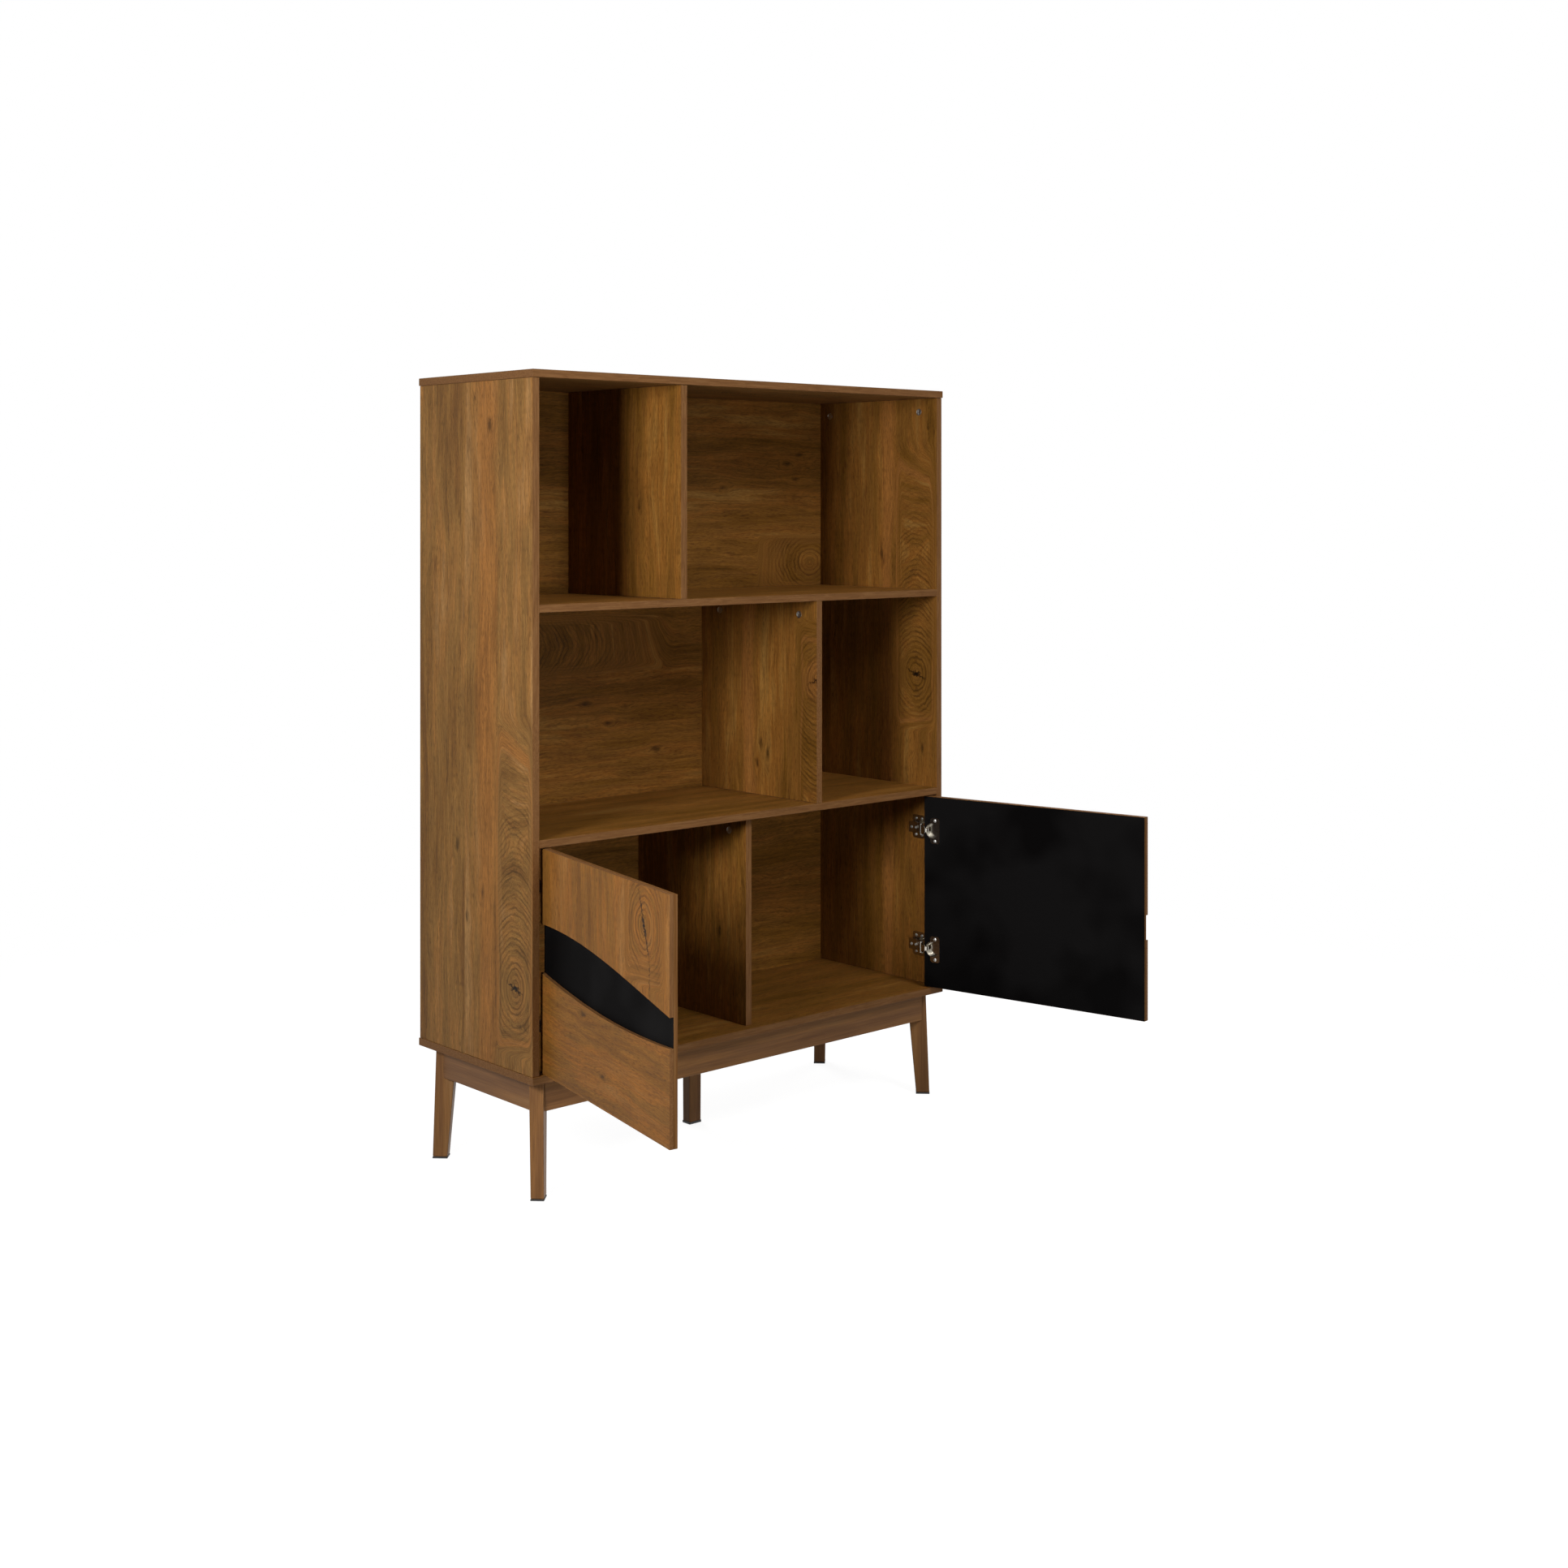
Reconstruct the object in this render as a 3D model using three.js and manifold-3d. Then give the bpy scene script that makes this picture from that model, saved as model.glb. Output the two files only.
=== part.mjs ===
// A bookcase on five tapered legs: three tiers of compartments in oak-faced board, the
// lowest closed by two doors with a leaf-shaped recess, each door on two concealed cup
// hinges. Millimetres, +Z up, the origin on the floor under the middle of the case, the
// back towards +Y. The doors stand open.
import * as THREE from "three";
import { mergeVertices } from "three/addons/utils/BufferGeometryUtils.js";
import Module from "manifold-3d";

const wasm = await Module();
wasm.setup();

// Case
const caseWidth = 1100; // over the outer faces of the side panels
const sideDepth = 388;
const boardThickness = 15;
const baseHeight = 223; // floor to the underside of the bottom panel
const tierHeight = 424; // clear height of each of the three tiers
const capOverhangSide = 1.2; // top and bottom panels past the side panels
const capOverhangFront = 2.6;
const edgeChamfer = 0.6;
const seat = 0.25; // clearance between boards that bear on each other
const upperDividerX = -187;
const middleDividerX = 179;
const lowerDividerSetback = 20;

// Back: three thin sheets in a groove, joined behind the shelves by H-section strips
const sheetThickness = 3;
const sheetSetback = 9; // behind the sheets, to the rear edges of the side panels
const grooveDepth = 5;
const grooveClearance = 0.25;
const stripWall = 1;
const stripHeight = 13;

// Rails under the bottom panel
const railThickness = 15;
const railHeight = 60;
const frontRailInset = 20; // behind the front edges of the side panels
const sideRailInset = 25; // inside the outer faces of the side panels
const mitreGap = 0.8; // between a rail end and the leg that it meets

// Corner legs: square, turned by an eighth of a turn, tapered and splayed
const legTopWidth = 35;
const legFootWidth = 26.5;
const legTopInsetX = 39;
const legTopInsetY = 38.5;
const legSplayX = 7.5;
const legSplayY = 12.5;
const legCornerRadius = 2;

// Middle leg
const middleLegWidth = 32;
const middleLegDepth = 25;
const middleLegTaper = 1.7; // narrower at the foot, in both directions
const middleLegY = 8.6;

// Glides under the legs, and the corner blocks that the legs are bolted to
const glideThickness = 4.5;
const glideProud = 1;
const blockThickness = 25;
const blockHeight = 45;

// Doors: a backing board with two facings, which leave a leaf-shaped recess between them
const doorGapSide = 2; // between a closed door and its side panel
const doorGapMiddle = 2; // between the two closed doors
const doorGapTop = 2;
const doorGapBottom = 2;
const backingThickness = 7.35;
const glueLine = 0.3;
const recessUpperHinge = 279; // heights of the recess edges over the bottom of the door
const recessUpperFree = 217.5;
const recessUpperRise = 7;
const recessUpperFall = 34;
const recessLowerHinge = 187.5;
const recessLowerFree = 166;
const recessLowerDip = 159.5;
const recessPull = 190; // length of the handles that bend the recess edges
const doorOpenAngle = THREE.MathUtils.degToRad(102);
const linkTurnAngle = THREE.MathUtils.degToRad(40);

// Concealed hinges, placed by the inner face of the side panel and the front plane
const upperHingeFromTop = 75;
const lowerHingeFromBottom = 84;
const armPinInboard = 23.75;
const armPinBehind = 26.14;
const cupPinFromEdge = 7; // from the hinge edge of the door
const cupPinDepth = 10.8; // from the outer face of the door
const cupDiameter = 35;
const cupEdgeDistance = 3;
const cupDepth = 11.3;
const cupWall = 0.9;
const cupBoreClearance = 0.3;
const flangeLength = 57;
const flangeThickness = 1.2;
const flangeNear = 15.5; // nearest edge of the flange from the hinge edge of the door
const flangeFar = 39.5;
const flangeCorner = 6;
const pinClearance = 0.3;
const linkThickness = 1.8;
const linkEyeRadius = 1.4;
const linkArmEyeRadius = 3.4;
const linkCupWidth = 8;
const linkShoulderWidth = 18;
const linkWaistWidth = 12;
const linkArmWidth = 20;
const linkSideClearance = 0.3;
const armPinRadius = 1.6;
const armNoseRadius = 4.4;
const armWall = 1.5;
const armLength = 46; // from the arm pin to the rear end
const armRise = 15; // height of the straight part over the side panel
const armBendLength = 22; // from the arm pin to the start of the straight part
const plateThickness = 2;
const plateRailHeight = 9;
const plateRailLength = 38;
const plateSetback = 35; // behind the front edge of the side panel
const plateWidth = 37;
const plateLength = 52;
const plateCorner = 7;
const curveSteps = 14;
const roundSteps = 28;

// Heights and faces that follow from the sizes above
const pitch = tierHeight + boardThickness;
const bottomTop = baseHeight + boardThickness;
const lowerShelfZ = bottomTop + tierHeight;
const upperShelfZ = lowerShelfZ + pitch;
const topPanelZ = upperShelfZ + pitch;
const innerX = caseWidth / 2 - boardThickness;
const frontY = -sideDepth / 2;
const rearY = sideDepth / 2;
const sheetRearY = rearY - sheetSetback;
const sheetFrontY = sheetRearY - sheetThickness;
const stripFrontY = sheetFrontY - grooveClearance - stripWall;
const legX = caseWidth / 2 - legTopInsetX;
const legY = sideDepth / 2 - legTopInsetY;
const legHalfDiagonal = legTopWidth * Math.SQRT1_2;
const doorWidth = innerX - doorGapSide - doorGapMiddle / 2;
const doorBottomZ = bottomTop + doorGapBottom;
const doorHeight = tierHeight - doorGapTop - doorGapBottom;

const finish = (color, roughness, metalness = 0) => ({ color, roughness, metalness });
const oak = finish(0x9a6f4a, 0.55);
const oakEdge = finish(0xa87f58, 0.5);
const sheetOak = finish(0x8a6340, 0.6);
const legOak = finish(0x8f6642, 0.5);
const blackBoard = finish(0x1c1b1a, 0.6);
const pineBlock = finish(0xb8996c, 0.7);
const blackPlastic = finish(0x161616, 0.5);
const greyPlastic = finish(0x77706a, 0.5);
const nickel = finish(0xb9b7b2, 0.3, 0.9);

// Joins and cuts of closed three.js geometries
function solid(geometry) {
  const bare = geometry.index ? geometry.toNonIndexed() : geometry.clone();
  bare.deleteAttribute("normal");
  bare.deleteAttribute("uv");
  const merged = mergeVertices(bare);
  return new wasm.Manifold(
    new wasm.Mesh({
      numProp: 3,
      vertProperties: merged.attributes.position.array,
      triVerts: new Uint32Array(merged.index.array),
    }),
  );
}

function geometryOf(body) {
  const mesh = body.getMesh();
  const geometry = new THREE.BufferGeometry();
  geometry.setAttribute("position", new THREE.BufferAttribute(mesh.vertProperties, mesh.numProp));
  geometry.setIndex(new THREE.BufferAttribute(mesh.triVerts, 1));
  const faceted = geometry.toNonIndexed();
  faceted.computeVertexNormals();
  return faceted;
}

function join(first, ...others) {
  return geometryOf(others.reduce((body, other) => body.add(solid(other)), solid(first)));
}

function cut(first, ...others) {
  return geometryOf(others.reduce((body, other) => body.subtract(solid(other)), solid(first)));
}

function common(first, second) {
  return geometryOf(solid(first).intersect(solid(second)));
}

function piece(name, geometry, material) {
  const mesh = new THREE.Mesh(geometry, new THREE.MeshStandardMaterial(material));
  mesh.name = name;
  return mesh;
}

// Outlines and extrusions
function outline(points) {
  return new THREE.Shape(points.map(([x, y]) => new THREE.Vector2(x, y)));
}

function rectangle(x0, x1, y0, y1) {
  return outline([[x0, y0], [x1, y0], [x1, y1], [x0, y1]]);
}

function roundedRectangle(x0, x1, y0, y1, radius) {
  const shape = new THREE.Shape();
  shape.absarc(x1 - radius, y0 + radius, radius, -Math.PI / 2, 0);
  shape.absarc(x1 - radius, y1 - radius, radius, 0, Math.PI / 2);
  shape.absarc(x0 + radius, y1 - radius, radius, Math.PI / 2, Math.PI);
  shape.absarc(x0 + radius, y0 + radius, radius, Math.PI, 1.5 * Math.PI);
  return shape;
}

function upright(shape, z0, z1, segments = curveSteps) {
  const geometry = new THREE.ExtrudeGeometry(shape, {
    depth: z1 - z0,
    bevelEnabled: false,
    curveSegments: segments,
  });
  return geometry.translate(0, 0, z0);
}

// The outline is drawn in X and Z and runs along Y
function alongY(shape, y0, y1, segments = curveSteps) {
  return upright(shape, -y1, -y0, segments).rotateX(Math.PI / 2);
}

// The outline is drawn in Y and Z and runs along X
function alongX(shape, x0, x1, segments = curveSteps) {
  const turn = new THREE.Matrix4().makeBasis(
    new THREE.Vector3(0, 1, 0),
    new THREE.Vector3(0, 0, 1),
    new THREE.Vector3(1, 0, 0),
  );
  return upright(shape, x0, x1, segments).applyMatrix4(turn);
}

function box(x0, x1, y0, y1, z0, z1) {
  return upright(rectangle(x0, x1, y0, y1), z0, z1);
}

// A board with its edges broken by a small chamfer all round
function board(x0, x1, y0, y1, z0, z1) {
  const c = edgeChamfer;
  const geometry = new THREE.ExtrudeGeometry(rectangle(x0 + c, x1 - c, y0 + c, y1 - c), {
    depth: z1 - z0 - 2 * c,
    bevelThickness: c,
    bevelSize: c,
    bevelSegments: 1,
    steps: 1,
  });
  return geometry.translate(0, 0, z0 + c);
}

function rod(radius, x, y, z0, z1, segments = roundSteps) {
  const geometry = new THREE.CylinderGeometry(radius, radius, z1 - z0, segments);
  return geometry.rotateX(Math.PI / 2).translate(x, y, (z0 + z1) / 2);
}

// Top and bottom panels overlap the side panels and are grooved for the back sheets
function capPanel(z0, grooveZ) {
  const x = caseWidth / 2 + capOverhangSide;
  const y = sideDepth / 2 + capOverhangFront;
  const panel = board(-x, x, -y, y, z0, z0 + boardThickness);
  const reach = innerX + grooveDepth;
  const groove = box(
    -reach,
    reach,
    sheetFrontY - grooveClearance,
    sheetRearY + grooveClearance,
    grooveZ - grooveDepth,
    grooveZ + grooveDepth,
  );
  return cut(panel, groove);
}

function sidePanel(side) {
  const inner = side * innerX;
  const outer = side * (innerX + boardThickness);
  const z0 = bottomTop + seat;
  const z1 = topPanelZ - seat;
  const panel = board(Math.min(inner, outer), Math.max(inner, outer), frontY, rearY, z0, z1);
  const groove = box(
    -grooveDepth,
    grooveDepth,
    sheetFrontY - grooveClearance,
    sheetRearY + grooveClearance,
    z0 - grooveDepth,
    z1 + grooveDepth,
  );
  return cut(panel, groove.translate(inner, 0, 0));
}

function shelf(z0) {
  const x = innerX - seat;
  return board(-x, x, frontY, stripFrontY - seat, z0, z0 + boardThickness);
}

function divider(x, z0, setback) {
  const half = boardThickness / 2;
  const back = sheetFrontY - seat;
  return board(x - half, x + half, frontY + setback, back, z0 + seat, z0 + tierHeight - seat);
}

// A sheet reaches the middle of each shelf, or the bottom of the groove at the caps
function backSheet(z0, z1) {
  const x = innerX + grooveDepth - seat;
  return box(-x, x, sheetFrontY, sheetRearY, z0, z1);
}

const stripSlot = stripWall / 2 + seat;
const lowerJointZ = lowerShelfZ + boardThickness / 2;
const upperJointZ = upperShelfZ + boardThickness / 2;

function backStrip(z) {
  const x = innerX - seat;
  const half = stripHeight / 2;
  const y0 = stripFrontY;
  const y1 = sheetRearY + grooveClearance + stripWall;
  const profile = rectangle(y0, y1, z - half, z + half);
  const slotY0 = y0 + stripWall;
  const slotY1 = y1 - stripWall;
  const slotAbove = box(-caseWidth, caseWidth, slotY0, slotY1, z + stripWall / 2, z + stripHeight);
  const slotBelow = box(-caseWidth, caseWidth, slotY0, slotY1, z - stripHeight, z - stripWall / 2);
  return cut(alongX(profile, -x, x), slotAbove, slotBelow);
}

// Rail ends are mitred along the faces of the turned legs
const mitre = legHalfDiagonal + mitreGap * Math.SQRT2;
const railTop = baseHeight - seat;
const railBottom = baseHeight - railHeight;

function crossRail(side) {
  const outerY = sideDepth / 2 - frontRailInset;
  const innerY = outerY - railThickness;
  const endX = (y) => legX + legY - mitre - y;
  const plan = outline([
    [-endX(outerY), side * outerY],
    [endX(outerY), side * outerY],
    [endX(innerY), side * innerY],
    [-endX(innerY), side * innerY],
  ]);
  return upright(plan, railBottom, railTop);
}

function sideRail(side) {
  const outerX = caseWidth / 2 - sideRailInset;
  const innerFaceX = outerX - railThickness;
  const endY = (x) => legX + legY - mitre - x;
  const plan = outline([
    [side * outerX, -endY(outerX)],
    [side * outerX, endY(outerX)],
    [side * innerFaceX, endY(innerFaceX)],
    [side * innerFaceX, -endY(innerFaceX)],
  ]);
  return upright(plan, railBottom, railTop);
}

// A block across the corner, behind the leg's inner face and between the rails
function cornerBlock(sideX, sideY) {
  const x = caseWidth / 2 - sideRailInset - railThickness - seat;
  const y = sideDepth / 2 - frontRailInset - railThickness - seat;
  const near = legX + legY - legHalfDiagonal - seat * Math.SQRT2;
  const far = near - blockThickness * Math.SQRT2;
  const plan = outline([
    [sideX * x, sideY * (near - x)],
    [sideX * (near - y), sideY * y],
    [sideX * (far - y), sideY * y],
    [sideX * x, sideY * (far - x)],
  ]);
  return upright(plan, railTop - blockHeight, railTop);
}

// A tapered leg is an upright rounded section drawn in towards the foot and carried outwards
function taperedLeg(width, depth, footWidth, footDepth, radius, splayX, splayY, turn) {
  const z0 = glideThickness;
  const z1 = baseHeight - seat;
  const section = roundedRectangle(-width / 2, width / 2, -depth / 2, depth / 2, radius);
  const geometry = upright(section, z0, z1, 4);
  const position = geometry.attributes.position;
  const point = new THREE.Vector3();
  const axis = new THREE.Vector3(0, 0, 1);
  for (let i = 0; i < position.count; i++) {
    point.fromBufferAttribute(position, i);
    const down = (z1 - point.z) / baseHeight;
    point.x *= 1 + (footWidth / width - 1) * down;
    point.y *= 1 + (footDepth / depth - 1) * down;
    point.applyAxisAngle(axis, turn);
    point.x += splayX * down;
    point.y += splayY * down;
    position.setXYZ(i, point.x, point.y, point.z);
  }
  geometry.computeVertexNormals();
  return geometry;
}

function cornerLeg(sideX, sideY) {
  const splayX = sideX * legSplayX;
  const splayY = sideY * legSplayY;
  const turn = Math.PI / 4;
  const foot = legFootWidth;
  const radius = legCornerRadius;
  return taperedLeg(legTopWidth, legTopWidth, foot, foot, radius, splayX, splayY, turn);
}

function middleLeg() {
  const footWidth = middleLegWidth - middleLegTaper;
  const footDepth = middleLegDepth - middleLegTaper;
  const radius = legCornerRadius;
  return taperedLeg(middleLegWidth, middleLegDepth, footWidth, footDepth, radius, 0, 0, 0);
}

function glide(width, depth) {
  const x = width / 2 + glideProud;
  const y = depth / 2 + glideProud;
  return upright(roundedRectangle(-x, x, -y, y, legCornerRadius), 0, glideThickness - seat, 4);
}

// The leaf recess: its two long edges, from the hinge edge of the door to the free edge
function recessEdge(hingeZ, freeZ, hingeHandleZ, freeHandleZ) {
  return new THREE.CubicBezierCurve(
    new THREE.Vector2(0, hingeZ),
    new THREE.Vector2(recessPull, hingeHandleZ),
    new THREE.Vector2(doorWidth - recessPull, freeHandleZ),
    new THREE.Vector2(doorWidth, freeZ),
  ).getPoints(curveSteps);
}

const recessUpper = recessEdge(
  recessUpperHinge,
  recessUpperFree,
  recessUpperHinge + recessUpperRise,
  recessUpperFree + recessUpperFall,
);
const recessLower = recessEdge(
  recessLowerHinge,
  recessLowerFree,
  recessLowerDip,
  recessLowerDip - recessUpperRise,
);

const cupRadius = cupDiameter / 2;
const cupCentre = cupEdgeDistance + cupRadius;
const doorThickness = 2 * backingThickness + glueLine;
const upperHingeZ = doorHeight - upperHingeFromTop;
const lowerHingeZ = lowerHingeFromBottom;

// A bore for a hinge cup, drilled from the inner face of the door
function cupBore(z) {
  const radius = cupRadius;
  const floor = doorThickness - cupDepth - cupBoreClearance;
  const bore = new THREE.Shape();
  bore.absarc(cupCentre, z, radius, 0, 2 * Math.PI);
  return alongY(bore, floor, doorThickness + cupDepth, roundSteps);
}

function facing(edge, z) {
  const shape = new THREE.Shape([
    ...edge,
    new THREE.Vector2(doorWidth, z),
    new THREE.Vector2(0, z),
  ]);
  return alongY(shape, 0, backingThickness);
}

function doorLeaf(prefix) {
  const leaf = new THREE.Group();
  const bores = [cupBore(upperHingeZ), cupBore(lowerHingeZ)];
  const backing = board(0, doorWidth, backingThickness + glueLine, doorThickness, 0, doorHeight);
  leaf.add(
    piece(prefix + "_door_backing", cut(backing, ...bores), blackBoard),
    piece(prefix + "_door_upper_facing", cut(facing(recessUpper, doorHeight), bores[0]), oak),
    piece(prefix + "_door_lower_facing", cut(facing(recessLower, 0), bores[1]), oak),
  );
  return leaf;
}

// The cup: a pressed pot with a screw flange, open towards the hinge edge where the link
// leaves it
function hingeCup() {
  const top = doorThickness + seat + flangeThickness;
  const bottom = doorThickness - cupDepth;
  const outer = cupRadius - cupBoreClearance;
  const inner = outer - cupWall;
  const half = flangeLength / 2;
  const pot = new THREE.Shape();
  pot.absarc(cupCentre, 0, outer, 0, 2 * Math.PI);
  const hollow = new THREE.Shape();
  hollow.absarc(cupCentre, 0, inner, 0, 2 * Math.PI);
  const flange = roundedRectangle(flangeNear, flangeFar, -half, half, flangeCorner);
  const body = join(
    alongY(pot, bottom, top, roundSteps),
    alongY(flange, doorThickness + seat, top),
  );
  const notchHalf = linkCupWidth / 2 + linkSideClearance;
  const notch = box(-cupRadius, cupCentre, bottom + cupWall, top + cupDepth, -notchHalf, notchHalf);
  const lowered = box(-cupRadius, flangeNear, doorThickness, top + cupDepth, -half, half);
  return cut(body, alongY(hollow, bottom + cupWall, top + cupDepth, roundSteps), notch, lowered);
}

// Closed and open places of the pins, seen from above in the corner of the case
const armPin = new THREE.Vector2(armPinInboard, armPinBehind);
const closedCupPin = new THREE.Vector2(doorGapSide + cupPinFromEdge, cupPinDepth);
const openCupPin = closedCupPin.clone().rotateAround(armPin, linkTurnAngle);
const doorCorner = new THREE.Vector2(-cupPinFromEdge, -cupPinDepth)
  .rotateAround(new THREE.Vector2(0, 0), -doorOpenAngle)
  .add(openCupPin);
const linkLength = armPin.distanceTo(closedCupPin);

// The link bends round the hinge edge of the door: its middle line from the cup pin to the
// arm pin, along and across the line between the pins
const linkBendShares = [
  [0, 0],
  [0.01, -0.13],
  [0.04, -0.28],
  [0.18, -0.37],
  [0.44, -0.325],
  [0.75, -0.19],
  [1, 0],
];

// Its height at shares of the line between the pins, from before the one to past the other
const linkOutlineShares = [
  [-0.5, linkCupWidth],
  [0.13, linkCupWidth],
  [0.2, linkShoulderWidth],
  [0.27, linkShoulderWidth],
  [0.38, linkWaistWidth],
  [0.62, linkWaistWidth],
  [0.78, linkArmWidth],
  [1.5, linkArmWidth],
];

// A strip of even thickness along a line of points
function ribbon(points, thickness) {
  const left = [];
  const right = [];
  points.forEach((p, i) => {
    const before = points[Math.max(i - 1, 0)];
    const after = points[Math.min(i + 1, points.length - 1)];
    const along = after.clone().sub(before).normalize();
    const across = new THREE.Vector2(-along.y, along.x).multiplyScalar(thickness / 2);
    left.push(p.clone().add(across));
    right.unshift(p.clone().sub(across));
  });
  return new THREE.Shape([...left, ...right]);
}

function hingeLink() {
  const middle = linkBendShares.map(
    ([along, across]) => new THREE.Vector2(along * linkLength, across * linkLength),
  );
  const bend = new THREE.SplineCurve(middle).getPoints(3 * curveSteps);
  const half = linkArmWidth / 2;
  const blank = join(
    upright(ribbon(bend, linkThickness), -half, half),
    rod(linkEyeRadius, 0, 0, -half, half),
    rod(linkArmEyeRadius, linkLength, 0, -half, half),
  );
  const side = linkOutlineShares.map(([along, width]) => [along * linkLength, width / 2]);
  const back = side.map(([x, y]) => [x, -y]).reverse();
  const reach = linkLength + linkArmEyeRadius;
  const shaped = common(blank, alongY(outline([...side, ...back]), -reach, reach));
  const armHole = rod(armPinRadius + pinClearance, linkLength, 0, -linkLength, linkLength, 16);
  return cut(shaped, armHole);
}

// The arm: a channel over the mounting plate, bent up to the pin that carries the link
function armOutline(inset) {
  const straight = armPinBehind + armBendLength;
  const end = armPinBehind + armLength;
  const nose = armNoseRadius - inset;
  const top = armRise - inset;
  const bend = armNoseRadius;
  const shape = new THREE.Shape();
  shape.absarc(armPinInboard, armPinBehind, nose, 0, Math.PI, true);
  shape.lineTo(top - bend - armWall, straight);
  shape.lineTo(plateRailHeight - bend, straight + bend);
  shape.lineTo(plateRailHeight - bend, end);
  shape.lineTo(top, end);
  shape.lineTo(top, straight);
  return shape;
}

function hingeArm() {
  const half = linkArmWidth / 2 + linkSideClearance + armWall;
  const inner = half - armWall;
  const reach = armPinBehind + armLength;
  const straight = armPinBehind + armBendLength;
  const noseEnd = armPinBehind + linkArmEyeRadius + 2 * pinClearance;
  const shell = upright(armOutline(0), -half, half);
  const throat = box(-armPinInboard, 2 * armPinInboard, 0, noseEnd, -inner, inner);
  const channel = outline([
    [-armRise, noseEnd - armWall],
    [armPinInboard + armNoseRadius - armWall, noseEnd - armWall],
    [armPinInboard + armNoseRadius - 2 * armWall, noseEnd],
    [armRise - armWall, straight],
    [armRise - armWall, reach + armWall],
    [-armRise, reach + armWall],
  ]);
  const hollow = upright(channel, -inner, inner);
  const pin = rod(armPinRadius, armPinInboard, armPinBehind, -half, half);
  return join(cut(shell, throat, hollow), pin);
}

// The mounting plate: two screw wings and a raised rail inside the arm
function mountingPlate() {
  const half = plateLength / 2;
  const far = plateSetback + plateWidth;
  const wings = roundedRectangle(plateSetback, far, -half, half, plateCorner);
  const railHalf = linkArmWidth / 2;
  const railEnd = armPinBehind + armLength - plateThickness;
  const rail = rectangle(railEnd - plateRailLength, railEnd, -railHalf, railHalf);
  return join(
    alongX(wings, seat, seat + plateThickness),
    alongX(rail, seat, plateRailHeight),
  );
}

// One side's door and its hinges, drawn for the left door in the corner between the side
// panel's inner face and the front plane
function doorSet(prefix) {
  const set = new THREE.Group();
  const door = doorLeaf(prefix);
  door.position.set(doorCorner.x, doorCorner.y, doorBottomZ);
  door.rotation.z = -doorOpenAngle;
  for (const [level, z] of [["upper", upperHingeZ], ["lower", lowerHingeZ]]) {
    const name = prefix + "_" + level + "_hinge_";
    const cup = piece(name + "cup", hingeCup(), nickel);
    cup.position.z = z;
    door.add(cup);
    const link = piece(name + "link", hingeLink(), nickel);
    link.position.set(openCupPin.x, openCupPin.y, doorBottomZ + z);
    link.rotation.z = armPin.clone().sub(openCupPin).angle();
    const arm = piece(name + "arm", hingeArm(), nickel);
    arm.position.z = doorBottomZ + z;
    const plate = piece(name + "plate", mountingPlate(), nickel);
    plate.position.z = doorBottomZ + z;
    set.add(link, arm, plate);
  }
  set.add(door);
  return set;
}

const bookcase = new THREE.Group();
const lowestSheetZ = bottomTop - grooveDepth + seat;
const highestSheetZ = topPanelZ + grooveDepth - seat;
bookcase.add(
  piece("bottom_panel", capPanel(baseHeight, bottomTop), oak),
  piece("top_panel", capPanel(topPanelZ, topPanelZ), oak),
  piece("left_side_panel", sidePanel(-1), oak),
  piece("right_side_panel", sidePanel(1), oak),
  piece("lower_shelf", shelf(lowerShelfZ), oak),
  piece("upper_shelf", shelf(upperShelfZ), oak),
  piece("lower_divider", divider(0, bottomTop, lowerDividerSetback), oak),
  piece("middle_divider", divider(middleDividerX, lowerShelfZ + boardThickness, 0), oakEdge),
  piece("upper_divider", divider(upperDividerX, upperShelfZ + boardThickness, 0), oakEdge),
  piece("lower_back_panel", backSheet(lowestSheetZ, lowerJointZ - stripSlot), sheetOak),
  piece("middle_back_panel", backSheet(lowerJointZ + stripSlot, upperJointZ - stripSlot), sheetOak),
  piece("upper_back_panel", backSheet(upperJointZ + stripSlot, highestSheetZ), sheetOak),
  piece("lower_back_strip", backStrip(lowerJointZ), greyPlastic),
  piece("upper_back_strip", backStrip(upperJointZ), greyPlastic),
  piece("front_rail", crossRail(-1), oak),
  piece("back_rail", crossRail(1), oak),
  piece("left_rail", sideRail(-1), oak),
  piece("right_rail", sideRail(1), oak),
);

for (const [front, sideY] of [["front", -1], ["back", 1]]) {
  for (const [left, sideX] of [["left", -1], ["right", 1]]) {
    const name = front + "_" + left + "_";
    const leg = piece(name + "leg", cornerLeg(sideX, sideY), legOak);
    leg.position.set(sideX * legX, sideY * legY, 0);
    const foot = piece(name + "glide", glide(legFootWidth, legFootWidth), blackPlastic);
    foot.position.set(sideX * (legX + legSplayX), sideY * (legY + legSplayY), 0);
    foot.rotation.z = Math.PI / 4;
    bookcase.add(leg, foot, piece(name + "corner_block", cornerBlock(sideX, sideY), pineBlock));
  }
}

const centreLeg = piece("middle_leg", middleLeg(), legOak);
centreLeg.position.y = middleLegY;
const centreWidth = middleLegWidth - middleLegTaper;
const centreDepth = middleLegDepth - middleLegTaper;
const centreFoot = piece("middle_glide", glide(centreWidth, centreDepth), blackPlastic);
centreFoot.position.y = middleLegY;
bookcase.add(centreLeg, centreFoot);

const leftDoor = doorSet("left");
leftDoor.position.set(-innerX, frontY, 0);
const rightDoor = doorSet("right");
rightDoor.position.set(innerX, frontY, 0);
rightDoor.scale.x = -1;
bookcase.add(leftDoor, rightDoor);

export default bookcase;
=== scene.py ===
import math

import bmesh
import bpy
from mathutils import Matrix, Vector


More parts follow.
